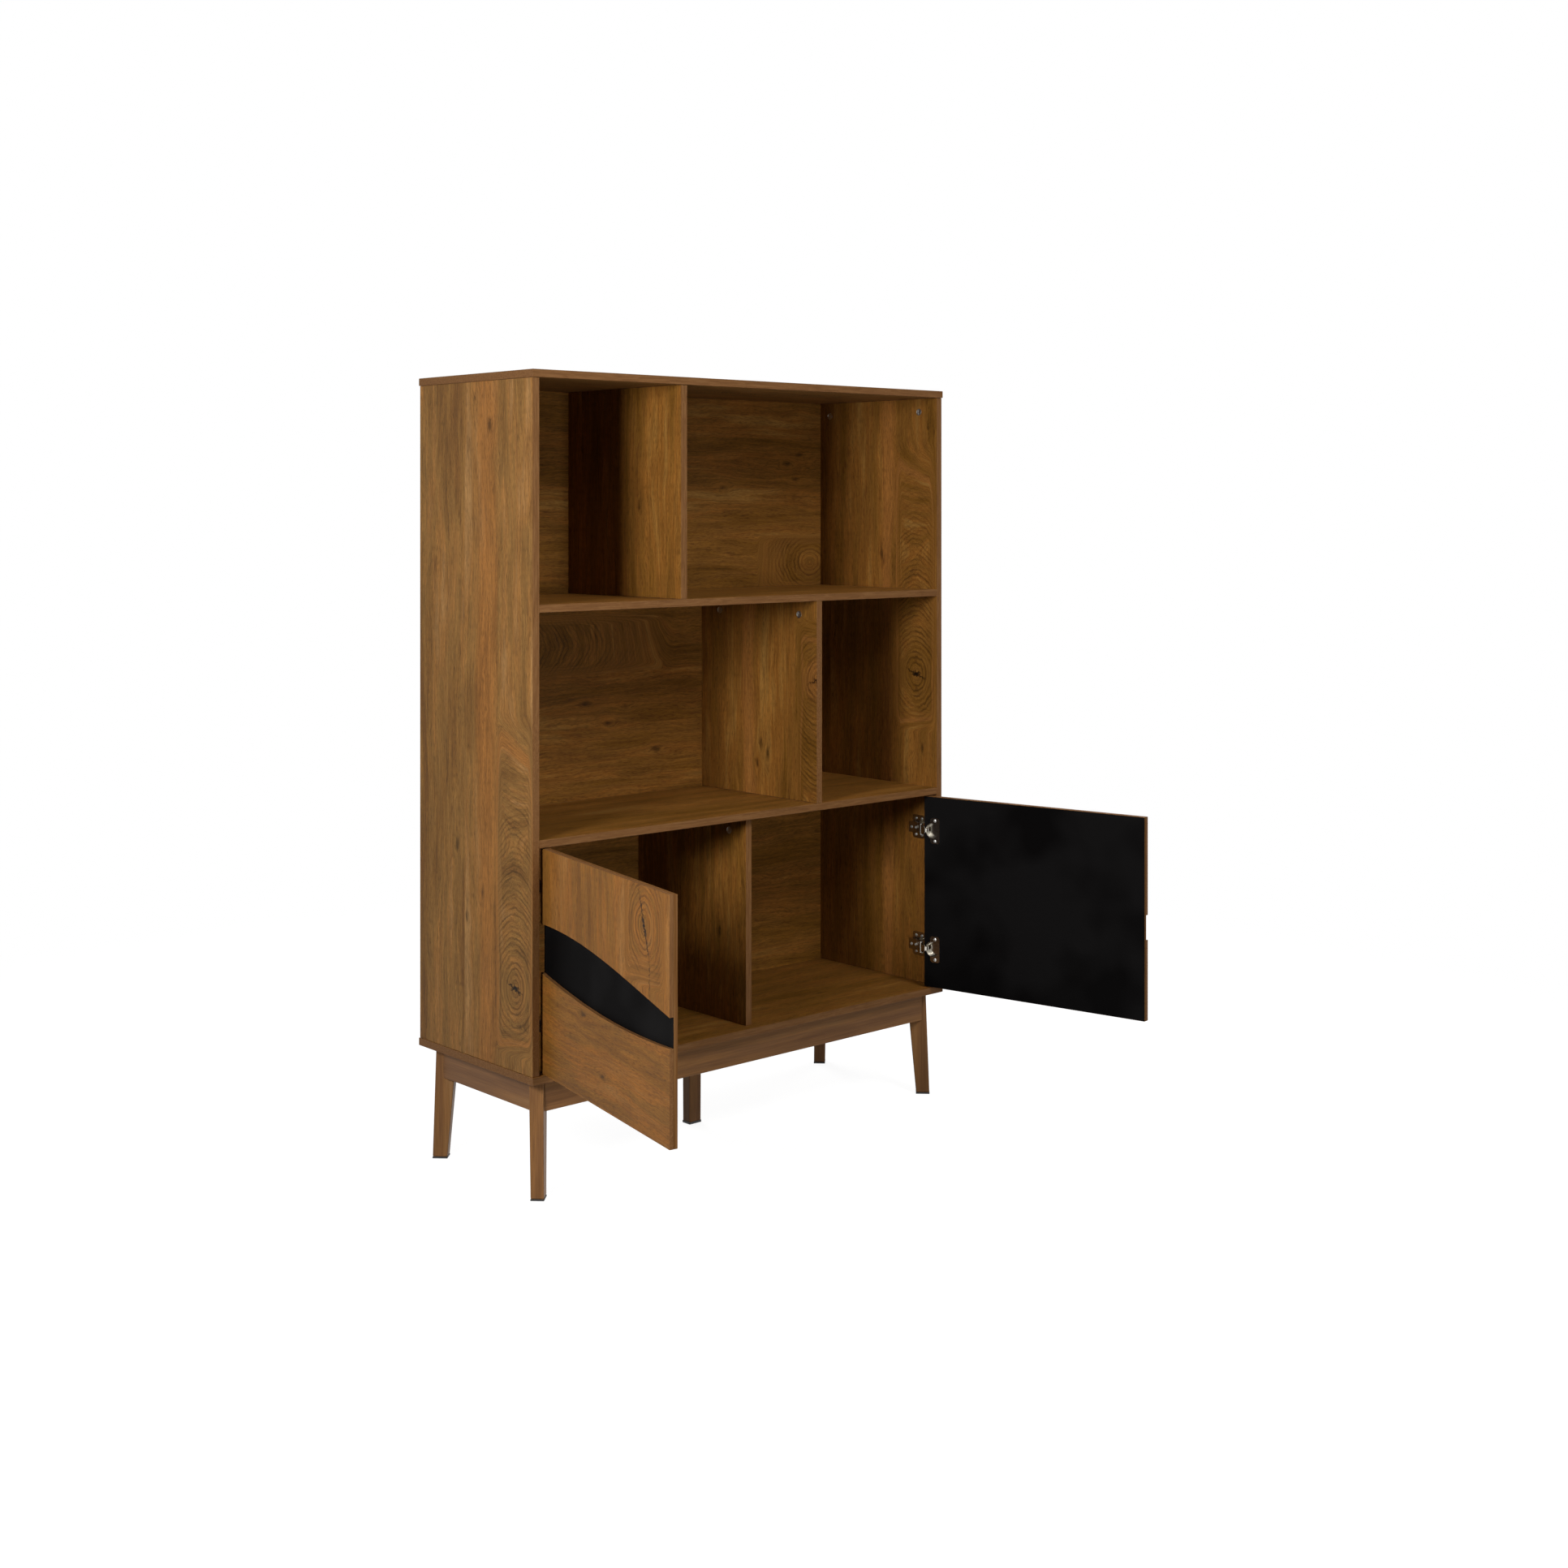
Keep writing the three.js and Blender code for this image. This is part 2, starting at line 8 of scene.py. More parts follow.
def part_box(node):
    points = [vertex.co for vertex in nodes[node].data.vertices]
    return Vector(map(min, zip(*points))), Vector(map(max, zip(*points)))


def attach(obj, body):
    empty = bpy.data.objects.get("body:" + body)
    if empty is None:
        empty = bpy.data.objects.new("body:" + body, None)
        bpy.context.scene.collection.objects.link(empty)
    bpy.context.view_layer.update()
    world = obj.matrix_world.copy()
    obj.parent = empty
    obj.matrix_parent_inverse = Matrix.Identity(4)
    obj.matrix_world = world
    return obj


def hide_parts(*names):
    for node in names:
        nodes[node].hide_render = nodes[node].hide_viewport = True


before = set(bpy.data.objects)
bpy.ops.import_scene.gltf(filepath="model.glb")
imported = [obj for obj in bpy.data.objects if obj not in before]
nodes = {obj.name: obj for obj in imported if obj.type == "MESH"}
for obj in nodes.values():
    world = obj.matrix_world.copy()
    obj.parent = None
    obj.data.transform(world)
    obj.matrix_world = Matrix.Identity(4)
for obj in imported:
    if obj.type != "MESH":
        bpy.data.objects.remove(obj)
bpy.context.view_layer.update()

# Studio. A product shot on white: the camera stands level with the upper compartments, to
# the left of the front. The key softbox stands two metres left of the case, one straight in
# front opens up the compartments, one high in front lights the shelf tops, three are fills.

CAMERA_PLACE = (-2.738, -3.311, 1.298)
CAMERA_TURN = 0.7349  # radians to the right of straight ahead
SENSOR_WIDTH = 36  # mm, as is the lens
LENS = 46.74
LENS_SHIFT = -0.1766  # the camera looks level, so the picture is shifted down
AMBIENT = 0.03  # strength of the even light from all round
SOFTBOXES = (  # name, place, aim, width, height and power
    ("key_softbox", (-2.6, -1.13, 1.5), (0, 0, 1.3), 0.5, 0.8, 68),
    ("front_softbox", (-0.2, -4.3, 0.8), (0.1, 0, 0.6), 0.5, 1.0, 35),
    ("high_softbox", (0.0, -3.4, 3.6), (0, 0, 0.9), 1.4, 1.4, 90),
    ("back_softbox", (1.2, 4.6, 2.6), (0, 0, 0.8), 2.2, 1.6, 120),
    ("right_softbox", (4.4, 1.2, 1.8), (0, 0, 0.8), 1.6, 1.6, 50),
    ("top_softbox", (0.3, 0.4, 4.6), (0, 0, 0.6), 2.2, 2.2, 30),
)

scene = bpy.context.scene
scene.view_settings.view_transform = "Standard"

camera = bpy.data.objects.new("camera", bpy.data.cameras.new("camera"))
camera.location = CAMERA_PLACE
camera.rotation_euler = (math.pi / 2, 0, -CAMERA_TURN)
camera.data.sensor_width = SENSOR_WIDTH
camera.data.lens = LENS
camera.data.shift_y = LENS_SHIFT
scene.collection.objects.link(camera)
scene.camera = camera

for name, place, aim, width, height, power in SOFTBOXES:
    lamp = bpy.data.lights.new(name, "AREA")
    lamp.shape = "RECTANGLE"
    lamp.size = width
    lamp.size_y = height
    lamp.energy = power
    softbox = bpy.data.objects.new(name, lamp)
    softbox.location = place
    softbox.rotation_euler = (Vector(aim) - Vector(place)).to_track_quat("-Z", "Y").to_euler()
    softbox.visible_camera = False
    scene.collection.objects.link(softbox)


def linear(code):
    """The linear colour of an sRGB hex code."""
    values = [int(code[i : i + 2], 16) / 255 for i in (1, 3, 5)]
    return [v / 12.92 if v <= 0.04045 else ((v + 0.055) / 1.055) ** 2.4 for v in values] + [1]


def node(tree, kind, inputs=None, stops=None, **settings):
    """A new node with its settings, its linked or set inputs and the stops of its ramp."""
    made = tree.nodes.new("ShaderNode" + kind)
    for key, value in settings.items():
        setattr(made, key, value)
    for place, source in (inputs or {}).items():
        if isinstance(source, bpy.types.Node):
            source = next(socket for socket in source.outputs if socket.enabled)
        if isinstance(source, bpy.types.NodeSocket):
            tree.links.new(source, made.inputs[place])
        else:
            made.inputs[place].default_value = source
    for i, (position, colour) in enumerate(stops or ()):
        elements = made.color_ramp.elements
        stop = elements[i] if i < 2 else elements.new(position)
        stop.position = position
        stop.color = linear(colour)
    return made


def looked_at(tree):
    """1 where the camera looks, also by way of metal or glass, and 0 for all other light."""
    rays = node(tree, "LightPath").outputs
    either = {0: rays["Is Camera Ray"], 1: rays["Is Glossy Ray"]}
    either = node(tree, "Math", either, operation="MAXIMUM")
    return node(tree, "Math", {0: either, 1: rays["Is Transmission Ray"]}, operation="MAXIMUM")


world = bpy.data.worlds.new("studio")
scene.world = world
world.use_nodes = True
tree = world.node_tree
tree.nodes.clear()
dim = node(tree, "Background", {"Color": linear("#ffffff"), "Strength": AMBIENT})
white = node(tree, "Background", {"Color": linear("#ffffff"), "Strength": 1.0})
mixed = node(tree, "MixShader", {0: looked_at(tree), 1: dim, 2: white})
node(tree, "OutputWorld", {"Surface": mixed})

# Floor. A sheet of uncoated white paper laid out under the object: it takes the object's
# soft shadow close by and runs out into the white of the background further off.

PAPER_HALF = 9.0
PAPER_CORE = 1.1  # up to here from the middle it shows its shading, which ends at the fade
PAPER_FADE = 2.6
PAPER_GREY = "#7c7c7c"  # what it sends back on the object, like a floor of middle tone
PAPER_GLOW = 0.92  # what makes it white in the picture where no shadow falls


def material(name):
    """An empty material and its tree."""
    made = bpy.data.materials.new(name)
    made.use_nodes = True
    made.node_tree.nodes.clear()
    return made, made.node_tree


def piece(name, bm, finish):
    """A new piece of the scene: this mesh in this finish."""
    mesh = bpy.data.meshes.new(name)
    bm.to_mesh(mesh)
    bm.free()
    mesh.materials.append(finish)
    made = bpy.data.objects.new(name, mesh)
    scene.collection.objects.link(made)
    return made


# The paper is quite matt, so that nothing but the shadow shows on it.
paper, tree = material("white_paper_matt")
place = node(tree, "TexCoord").outputs["Object"]
distance = node(tree, "VectorMath", {0: place}, operation="LENGTH").outputs["Value"]
away = {"Value": distance, "From Min": PAPER_CORE, "From Max": PAPER_FADE}
away = node(tree, "MapRange", away, interpolation_type="SMOOTHSTEP")
seen = looked_at(tree)
matt = node(tree, "BsdfDiffuse", {"Color": linear(PAPER_GREY)})
glow = node(tree, "Emission", {"Color": linear("#ffffff"), "Strength": PAPER_GLOW})
lit = node(tree, "AddShader", {0: matt, 1: glow})
lit = node(tree, "MixShader", {0: seen, 1: matt, 2: lit})
blank = node(tree, "Emission", {"Color": linear("#ffffff"), "Strength": 1.0})
far = node(tree, "Math", {0: away, 1: seen}, operation="MULTIPLY")
node(tree, "OutputMaterial", {"Surface": node(tree, "MixShader", {0: far, 1: lit, 2: blank})})

bm = bmesh.new()
bmesh.ops.create_grid(bm, x_segments=8, y_segments=8, size=PAPER_HALF)
piece("floor", bm, paper)

# Boards of the case. Chipboard faced with rustic-oak print melamine, cut to size and
# edged with ABS tape; cam fittings pull them together. The print shows planks laid side by
# side: most with straight, slightly wavy grain, some with growth rings round a cracked knot.

OAK_TONES = [
    (0.3, "#6a4824"),
    (0.4, "#76532a"),
    (0.48, "#7e5b30"),
    (0.56, "#865d30"),
    (0.63, "#8b653a"),
    (0.72, "#967043"),
]
# Painted shade: a darker, more saturated copy of the print's tones, for the boards inside the case
# and the back sheets, which stand in shade; the print itself is the same on all boards.
PAINTED_SHADE_TONES = [
    (0.3, "#664314"),
    (0.4, "#714b1a"),
    (0.48, "#795120"),
    (0.56, "#7f5220"),
    (0.63, "#855b27"),
    (0.72, "#8f6731"),
]
TAPE_TONES = [(0.35, "#604022"), (0.5, "#6b4828"), (0.65, "#765331")]
RAW_TONES = [(0.36, "#6d4e33"), (0.5, "#7f5f42"), (0.64, "#8e6f50")]
WARM_STREAK = "#935f2e"
KNOT_BROWN = "#4a2a12"

# Sizes on the print are in mm. Where there are two, a pattern is so wide and so long.
MM = 1000.0  # the frame is in metres
PLANK_WIDTH = 114.0
LOG_LENGTH = 5000  # the planks of the print come from anywhere on it


def cells(width, length):
    """The scale at which a pattern's cells are so many mm wide and long."""
    return (1 / width, 1 / width, 1 / length)


def board_axes(tree, place, axes, turn, corner):
    """The places across, through and along the grain, in mm. The turn and the hinge corner of
    an open door lay it straight."""
    offset = -(Matrix.Rotation(turn, 3, "Z") @ Vector(corner)) * MM
    lie = {"Vector": place, "Location": offset, "Rotation": (0, 0, turn), "Scale": (MM,) * 3}
    parts = node(tree, "SeparateXYZ", {0: node(tree, "Mapping", lie)})
    return [parts.outputs[axis] for axis in axes]


def plank_chance(tree, across, plank, shift):
    """A random value and colour for each plank of the print."""
    number = node(tree, "Math", {0: across, 1: PLANK_WIDTH / 2 - plank}, operation="ADD")
    number = node(tree, "Math", {0: number, 1: PLANK_WIDTH}, operation="DIVIDE")
    number = node(tree, "Math", {0: number}, operation="FLOOR")
    chance = node(tree, "CombineXYZ", {0: number, 1: shift[0], 2: shift[2]})
    return node(tree, "TexWhiteNoise", {"Vector": chance}, noise_dimensions="3D").outputs


def on_the_log(tree, across, through, along, shift, log):
    """A place on the board as a place on the log that its plank was cut from."""
    place = node(tree, "CombineXYZ", {0: across, 1: through, 2: along})
    place = node(tree, "VectorMath", {0: place, 1: shift}, operation="ADD")
    return node(tree, "VectorMath", {0: place, 1: log}, operation="ADD")


def wander(tree, place, cell, detail, depth):
    """How far the grain strays to either side at a place, by up to this depth."""
    stray = node(tree, "VectorMath", {0: place, 1: cells(*cell)}, operation="MULTIPLY")
    stray = node(tree, "TexNoise", {"Vector": stray, "Scale": 1.0, "Detail": detail})
    return node(tree, "MapRange", {"Value": stray, "To Min": -depth, "To Max": depth})


KNOT_STRETCH = 2.6
KNOT_REACH = 24.0  # how far from its middle a small knot pushes the grain aside
KNOT_PUSH = -0.8
KNOT_HEART = (1.0, 7.0)  # where its dark heart begins to fade and where it ends
KNOT_SHADE = 0.35


def small_knot(tree, board, line, knot_across, knot_along):
    """The line of the grain, pushed aside by a small knot, and the shade of its dark heart."""
    side = node(tree, "Math", {0: board["across"], 1: -knot_across}, operation="ADD")
    up = node(tree, "Math", {0: board["along"], 1: -knot_along}, operation="ADD")
    up = node(tree, "Math", {0: up, 1: KNOT_STRETCH}, operation="DIVIDE")
    away = node(tree, "CombineXYZ", {0: side, 1: up})
    away = node(tree, "VectorMath", {0: away}, operation="LENGTH").outputs["Value"]
    push = {"Value": away, "From Max": KNOT_REACH, "To Min": KNOT_PUSH, "To Max": 0.0}
    push = node(tree, "MapRange", push, interpolation_type="SMOOTHSTEP")
    line = node(tree, "Math", {0: side, 1: push, 2: line}, operation="MULTIPLY_ADD")
    ragged = node(tree, "Math", {0: away, 1: board["wave"]}, operation="ADD")
    heart = {"Value": ragged, "From Min": KNOT_HEART[0], "From Max": KNOT_HEART[1]}
    return line, node(tree, "MapRange", {**heart, "To Min": KNOT_SHADE, "To Max": 1.0})


RING_STRETCH = 1.25
RING_ROUND = 44.0  # up to here rings are round, further up they lie over each other as arches
RING_LOW = (-105.0, -52.0)  # rings fade in between these places below their knot
RING_SIDE = (-16, 8)  # and out between these, from the end of their room to either side
RING_LAST = 2.2  # times their reach, where the last arch has faded
RING_BEND = 0.35  # shares of the grain's bends and waves in the rings
RING_WAVE = 1.3
EDGE_WAVE = 0.8  # and of its waves in the limit of their room


def among_rings(tree, board, ring_across, ring_along, way, reach, room):
    """A place among the rings of a large knot: to the side of the knot, as a vector from it,
    its distance counted across the rings, and the share of the rings in the grain there."""
    side = node(tree, "Math", {0: board["across"], 1: -ring_across}, operation="ADD")
    edge = node(tree, "Math", {0: side}, operation="ABSOLUTE")
    edge = {0: board["wave"], 1: EDGE_WAVE, 2: edge}
    edge = node(tree, "Math", edge, operation="MULTIPLY_ADD")
    inside = {"Value": edge, "From Min": room + RING_SIDE[0], "From Max": room + RING_SIDE[1]}
    inside = {**inside, "To Min": 1.0, "To Max": 0.0}
    inside = node(tree, "MapRange", inside, interpolation_type="SMOOTHSTEP")
    side = node(tree, "Math", {0: board["bend"], 1: RING_BEND, 2: side}, operation="MULTIPLY_ADD")
    up = node(tree, "Math", {0: board["along"], 1: -ring_along}, operation="ADD")
    up = node(tree, "Math", {0: up, 1: way / RING_STRETCH}, operation="MULTIPLY")
    low = node(tree, "Math", {0: up, 1: RING_ROUND}, operation="MINIMUM")
    beyond = node(tree, "Math", {0: up, 1: low}, operation="SUBTRACT")
    flat = node(tree, "CombineXYZ", {0: side, 1: low})
    spread = node(tree, "VectorMath", {0: flat}, operation="LENGTH").outputs["Value"]
    spread = node(tree, "Math", {0: spread, 1: beyond}, operation="ADD")
    spread = {0: board["wave"], 1: RING_WAVE, 2: spread}
    spread = node(tree, "Math", spread, operation="MULTIPLY_ADD")
    below = {"Value": up, "From Min": RING_LOW[0], "From Max": RING_LOW[1]}
    below = node(tree, "MapRange", below, interpolation_type="SMOOTHSTEP")
    above = {"Value": up, "From Min": reach, "From Max": RING_LAST * reach}
    above = {**above, "To Min": 1.0, "To Max": 0.0}
    above = node(tree, "MapRange", above, interpolation_type="SMOOTHSTEP")
    share = node(tree, "Math", {0: below, 1: above}, operation="MULTIPLY")
    share = node(tree, "Math", {0: share, 1: inside}, operation="MULTIPLY")
    return side, flat, spread, share


RING_SPACING = 9.2
RING_PATCH = (1 / 21, 1 / 60, 0)  # patches of stronger rings, 21 mm across them and 60 along


def growth_rings(tree, side, spread, share):
    """The shade of the rings' late wood, stronger in some patches than in others."""
    years = node(tree, "Math", {0: spread, 1: 2 * math.pi / RING_SPACING}, operation="MULTIPLY")
    years = node(tree, "Math", {0: years}, operation="SINE")
    years = node(tree, "MapRange", {"Value": years, "From Min": -0.1, "From Max": 0.9})
    strong = node(tree, "CombineXYZ", {0: spread, 1: side})
    strong = node(tree, "VectorMath", {0: strong, 1: RING_PATCH}, operation="MULTIPLY")
    strong = node(tree, "TexNoise", {"Vector": strong, "Scale": 1.0, "Detail": 2.0})
    strong = {"Value": strong, "From Min": 0.36, "From Max": 0.62, "To Min": 0.08, "To Max": 0.46}
    strong = node(tree, "MapRange", strong)
    strong = node(tree, "Math", {0: strong, 1: share}, operation="MULTIPLY")
    years = node(tree, "Math", {0: years, 1: strong}, operation="MULTIPLY")
    return node(tree, "Math", {0: 1.0, 1: years}, operation="SUBTRACT")


CRACK_DARK = 0.9  # half the width of a crack's dark middle, and of all of it
CRACK_HALF = 3.0
CRACK_TIP = 0.4  # from this share of its half length it narrows
CRACK_SHADE = 0.12
JAG_CELL = (7, 7)
JAG_DEPTH = 8.0


def crack(tree, flat, jag, angle, half):
    """The shade of a jagged crack through a large knot, half so long to either side."""
    c = math.cos(math.radians(angle))
    s = math.sin(math.radians(angle))
    lengthwise = node(tree, "VectorMath", {0: flat, 1: (c, s, 0)}, operation="DOT_PRODUCT")
    lengthwise = node(tree, "Math", {0: lengthwise.outputs["Value"]}, operation="ABSOLUTE")
    sideways = node(tree, "VectorMath", {0: flat, 1: (-s, c, 0)}, operation="DOT_PRODUCT")
    sideways = node(tree, "Math", {0: sideways.outputs["Value"], 1: jag}, operation="ADD")
    sideways = node(tree, "Math", {0: sideways}, operation="ABSOLUTE")
    closed = {"Value": lengthwise, "From Min": half * CRACK_TIP, "From Max": half}
    closed = node(tree, "MapRange", {**closed, "To Min": 0.0, "To Max": CRACK_HALF})
    gap = node(tree, "Math", {0: sideways, 1: closed}, operation="ADD")
    gap = {"Value": gap, "From Min": CRACK_DARK, "From Max": CRACK_HALF}
    return node(tree, "MapRange", {**gap, "To Min": CRACK_SHADE, "To Max": 1.0})


RING_RUN = 3.0  # the grain's marks on the rings are so much shorter than elsewhere


def grain_line(tree, board, rings, knots, room):
    """The grain of a board. Its line tells where a place lies across the grain and its run
    where it lies along it; with them come the shades of all knots, rings and cracks."""
    line = node(tree, "Math", {0: board["across"], 1: board["bend"]}, operation="ADD")
    line = node(tree, "Math", {0: line, 1: board["wave"]}, operation="ADD")
    run = board["along"]
    shades = []
    for knot in knots:
        line, heart = small_knot(tree, board, line, *knot)
        shades.append(heart)
    for *ring, cracks in rings:
        side, flat, spread, share = among_rings(tree, board, *ring, room)
        line = node(tree, "Mix", {0: share, 2: line, 3: spread})
        round_it = node(tree, "Math", {0: side, 1: RING_RUN}, operation="MULTIPLY")
        run = node(tree, "Mix", {0: share, 2: run, 3: round_it})
        shades.append(growth_rings(tree, side, spread, share))
        if cracks:
            jag = wander(tree, board["loose"], JAG_CELL, 3.0, JAG_DEPTH)
        for angle, half in cracks:
            shades.append(crack(tree, flat, jag, angle, half))
    return line, run, shades


TONE_CELL = (40.0, 420.0)
CLOUD_CELL = (60, 130)
STREAK_CELL = (3.4, 85.0)
PORE_CELL = (0.9, 13.0)  # real pores are a third as wide, drawn coarser so that they show


def ink(tree, grain, loose, chance, tones):
    """The tones in their bands along the grain, the shades of clouds, fibres and pores, and
    the streaks and pores themselves."""
    bands = node(tree, "VectorMath", {0: grain, 1: cells(*TONE_CELL)}, operation="MULTIPLY")
    bands = {"Vector": bands, "Scale": 1.0, "Detail": 3.0, "Roughness": 0.6}
    bands = node(tree, "TexNoise", bands)
    lean = node(tree, "MapRange", {"Value": chance["Value"], "To Min": -0.05, "To Max": 0.05})
    bands = node(tree, "Math", {0: bands, 1: lean}, operation="ADD")
    colour = node(tree, "ValToRGB", {0: bands}, stops=tones)
    clouds = node(tree, "VectorMath", {0: loose, 1: cells(*CLOUD_CELL)}, operation="MULTIPLY")
    clouds = node(tree, "TexNoise", {"Vector": clouds, "Scale": 1.0, "Detail": 3.0})
    clouds = {"Value": clouds, "From Min": 0.3, "From Max": 0.7, "To Min": 0.89, "To Max": 1.11}
    clouds = node(tree, "MapRange", clouds)
    streaks = node(tree, "VectorMath", {0: grain, 1: cells(*STREAK_CELL)}, operation="MULTIPLY")
    streaks = {"Vector": streaks, "Scale": 1.0, "Detail": 3.0, "Roughness": 0.7}
    streaks = node(tree, "TexNoise", streaks)
    fibres = {"Value": streaks, "From Min": 0.32, "From Max": 0.68, "To Min": 0.7, "To Max": 1.3}
    fibres = node(tree, "MapRange", fibres)
    pores = node(tree, "VectorMath", {0: grain, 1: cells(*PORE_CELL)}, operation="MULTIPLY")
    pores = node(tree, "TexNoise", {"Vector": pores, "Scale": 1.0, "Detail": 1.0})
    pores = node(tree, "MapRange", {"Value": pores, "From Min": 0.38, "From Max": 0.5})
    dashes = node(tree, "MapRange", {"Value": pores, "To Min": 0.66, "To Max": 1.0})
    return colour, [clouds, fibres, dashes], streaks, pores


WARM_CORE = 0.3  # the share of its half width over which a warm streak is even
WARM_SHARE = 0.55


def warmed(tree, colour, line, middle, half):
    """The colour with a warm streak along the grain."""
    side = node(tree, "Math", {0: line, 1: -middle}, operation="ADD")
    side = node(tree, "Math", {0: side}, operation="ABSOLUTE")
    side = {"Value": side, "From Min": half * WARM_CORE, "From Max": half}
    side = {**side, "To Min": WARM_SHARE, "To Max": 0.0}
    side = node(tree, "MapRange", side, interpolation_type="SMOOTHSTEP")
    return node(tree, "Mix", {0: side, 6: colour, 7: linear(WARM_STREAK)}, data_type="RGBA")


SPOT_CELL = (15, 75)


def spotted(tree, colour, grain):
    """The colour with long brown stains, as from side shoots."""
    spots = node(tree, "VectorMath", {0: grain, 1: cells(*SPOT_CELL)}, operation="MULTIPLY")
    spots = {"Vector": spots, "Scale": 1.0, "Detail": 3.0, "Roughness": 0.65}
    spots = {"Value": node(tree, "TexNoise", spots), "From Min": 0.62, "From Max": 0.82}
    spots = node(tree, "MapRange", {**spots, "To Max": 0.8})
    return node(tree, "Mix", {0: spots, 6: colour, 7: linear(KNOT_BROWN)}, data_type="RGBA")


BROAD_FACE = 0.85  # a face as near as this to the broad ones' direction has no tape


def on_tape(tree, normal, face):
    """1 on a board's taped edges and 0 on its two broad faces, whose normal is face."""
    upright = node(tree, "VectorMath", {0: normal, 1: face}, operation="DOT_PRODUCT")
    upright = node(tree, "Math", {0: upright.outputs["Value"]}, operation="ABSOLUTE")
    return node(tree, "Math", {0: upright, 1: BROAD_FACE}, operation="LESS_THAN")


FELT_PER_MM = 0.45
RAW_ROUGHNESS = 0.85


def raw_fibreboard(tree, normal, raw, loose, printed, rough):
    """The print's colour and roughness, but those of raw board on the face towards raw:
    pressed brown fibres without a direction, quite matt."""
    bare = node(tree, "VectorMath", {0: normal, 1: raw}, operation="DOT_PRODUCT")
    bare = node(tree, "Math", {0: bare.outputs["Value"], 1: 0.5}, operation="GREATER_THAN")
    felt = {"Vector": loose, "Scale": FELT_PER_MM, "Detail": 5.0, "Roughness": 0.75}
    felt = node(tree, "ValToRGB", {0: node(tree, "TexNoise", felt)}, stops=RAW_TONES)
    printed = node(tree, "Mix", {0: bare, 6: printed, 7: felt}, data_type="RGBA")
    return printed, node(tree, "Mix", {0: bare, 2: rough, 3: RAW_ROUGHNESS})


BEND_CELL = (80, 380)  # the grain's slow bends
BEND_DEPTH = 26.0
WAVE_CELL = (22, 48)  # and its small waves
WAVE_DEPTH = 5.0


def oak_print(
    name,
    axes,
    shift,
    plank=0.0,
    rings=(),
    knots=(),
    warm=None,
    tones=OAK_TONES,
    face=None,
    raw=None,
    room=PLANK_WIDTH / 2,
    turn=0.0,
    corner=(0, 0, 0),
):
    """Rustic-oak print. axes names the object axes across, through and along the grain and
    shift is this board's place on the printed paper; plank is the middle of one plank.
    rings holds (across, along, way, reach, cracks) of each ringed knot, knots the small ones,
    and warm the middle and half width of a warm streak, all in mm. face is the normal of the
    broad faces of a taped board, and raw that of an unprinted one. room is how far to either
    side of a ringed knot its rings run. turn and corner lay an open door's axes straight."""
    made, tree = material(name)
    coordinates = node(tree, "TexCoord").outputs
    across, through, along = board_axes(tree, coordinates["Object"], axes, turn, corner)
    chance = plank_chance(tree, across, plank, shift)
    log = {0: chance["Color"], 1: (0, 0, LOG_LENGTH)}
    log = node(tree, "VectorMath", log, operation="MULTIPLY")
    loose = on_the_log(tree, across, through, along, shift, log)
    board = {"across": across, "along": along, "loose": loose}
    board["bend"] = wander(tree, loose, BEND_CELL, 2.0, BEND_DEPTH)
    board["wave"] = wander(tree, loose, WAVE_CELL, 3.0, WAVE_DEPTH)
    line, run, shades = grain_line(tree, board, rings, knots, room)
    grain = on_the_log(tree, line, through, run, shift, log)

    colour, fine_shades, streaks, pores = ink(tree, grain, loose, chance, tones)
    if warm:
        colour = warmed(tree, colour, line, *warm)
    printed = spotted(tree, colour, grain)
    shade, *other_shades = shades + fine_shades
    for other in other_shades:
        shade = node(tree, "Math", {0: shade, 1: other}, operation="MULTIPLY")
    printed = node(tree, "VectorMath", {0: printed, "Scale": shade}, operation="SCALE")
    rough = node(tree, "MapRange", {"Value": streaks, "To Min": 0.46, "To Max": 0.62})

    # Edge tape is plainer than the print: streaks only.
    if face:
        taped = on_tape(tree, coordinates["Normal"], face)
        tape = node(tree, "ValToRGB", {0: streaks}, stops=TAPE_TONES)
        printed = node(tree, "Mix", {0: taped, 6: printed, 7: tape}, data_type="RGBA")
    if raw:
        printed, rough = raw_fibreboard(tree, coordinates["Normal"], raw, loose, printed, rough)

    # The film is pressed against a plate with the pores on it: a satin skin with faint dents,
    # under which the print lies flat and without depth.
    surface = {"Base Color": printed, "Roughness": rough, "IOR": 1.5, "Specular IOR Level": 0.1}
    surface["Normal"] = node(tree, "Bump", {"Height": pores, "Strength": 0.25, "Distance": 0.0002})
    node(tree, "OutputMaterial", {"Surface": node(tree, "BsdfPrincipled", surface)})
    return made


def dress(name, finish):
    """One of the CAD pieces in its finish."""
    nodes[name].data.materials.clear()
    nodes[name].data.materials.append(finish)


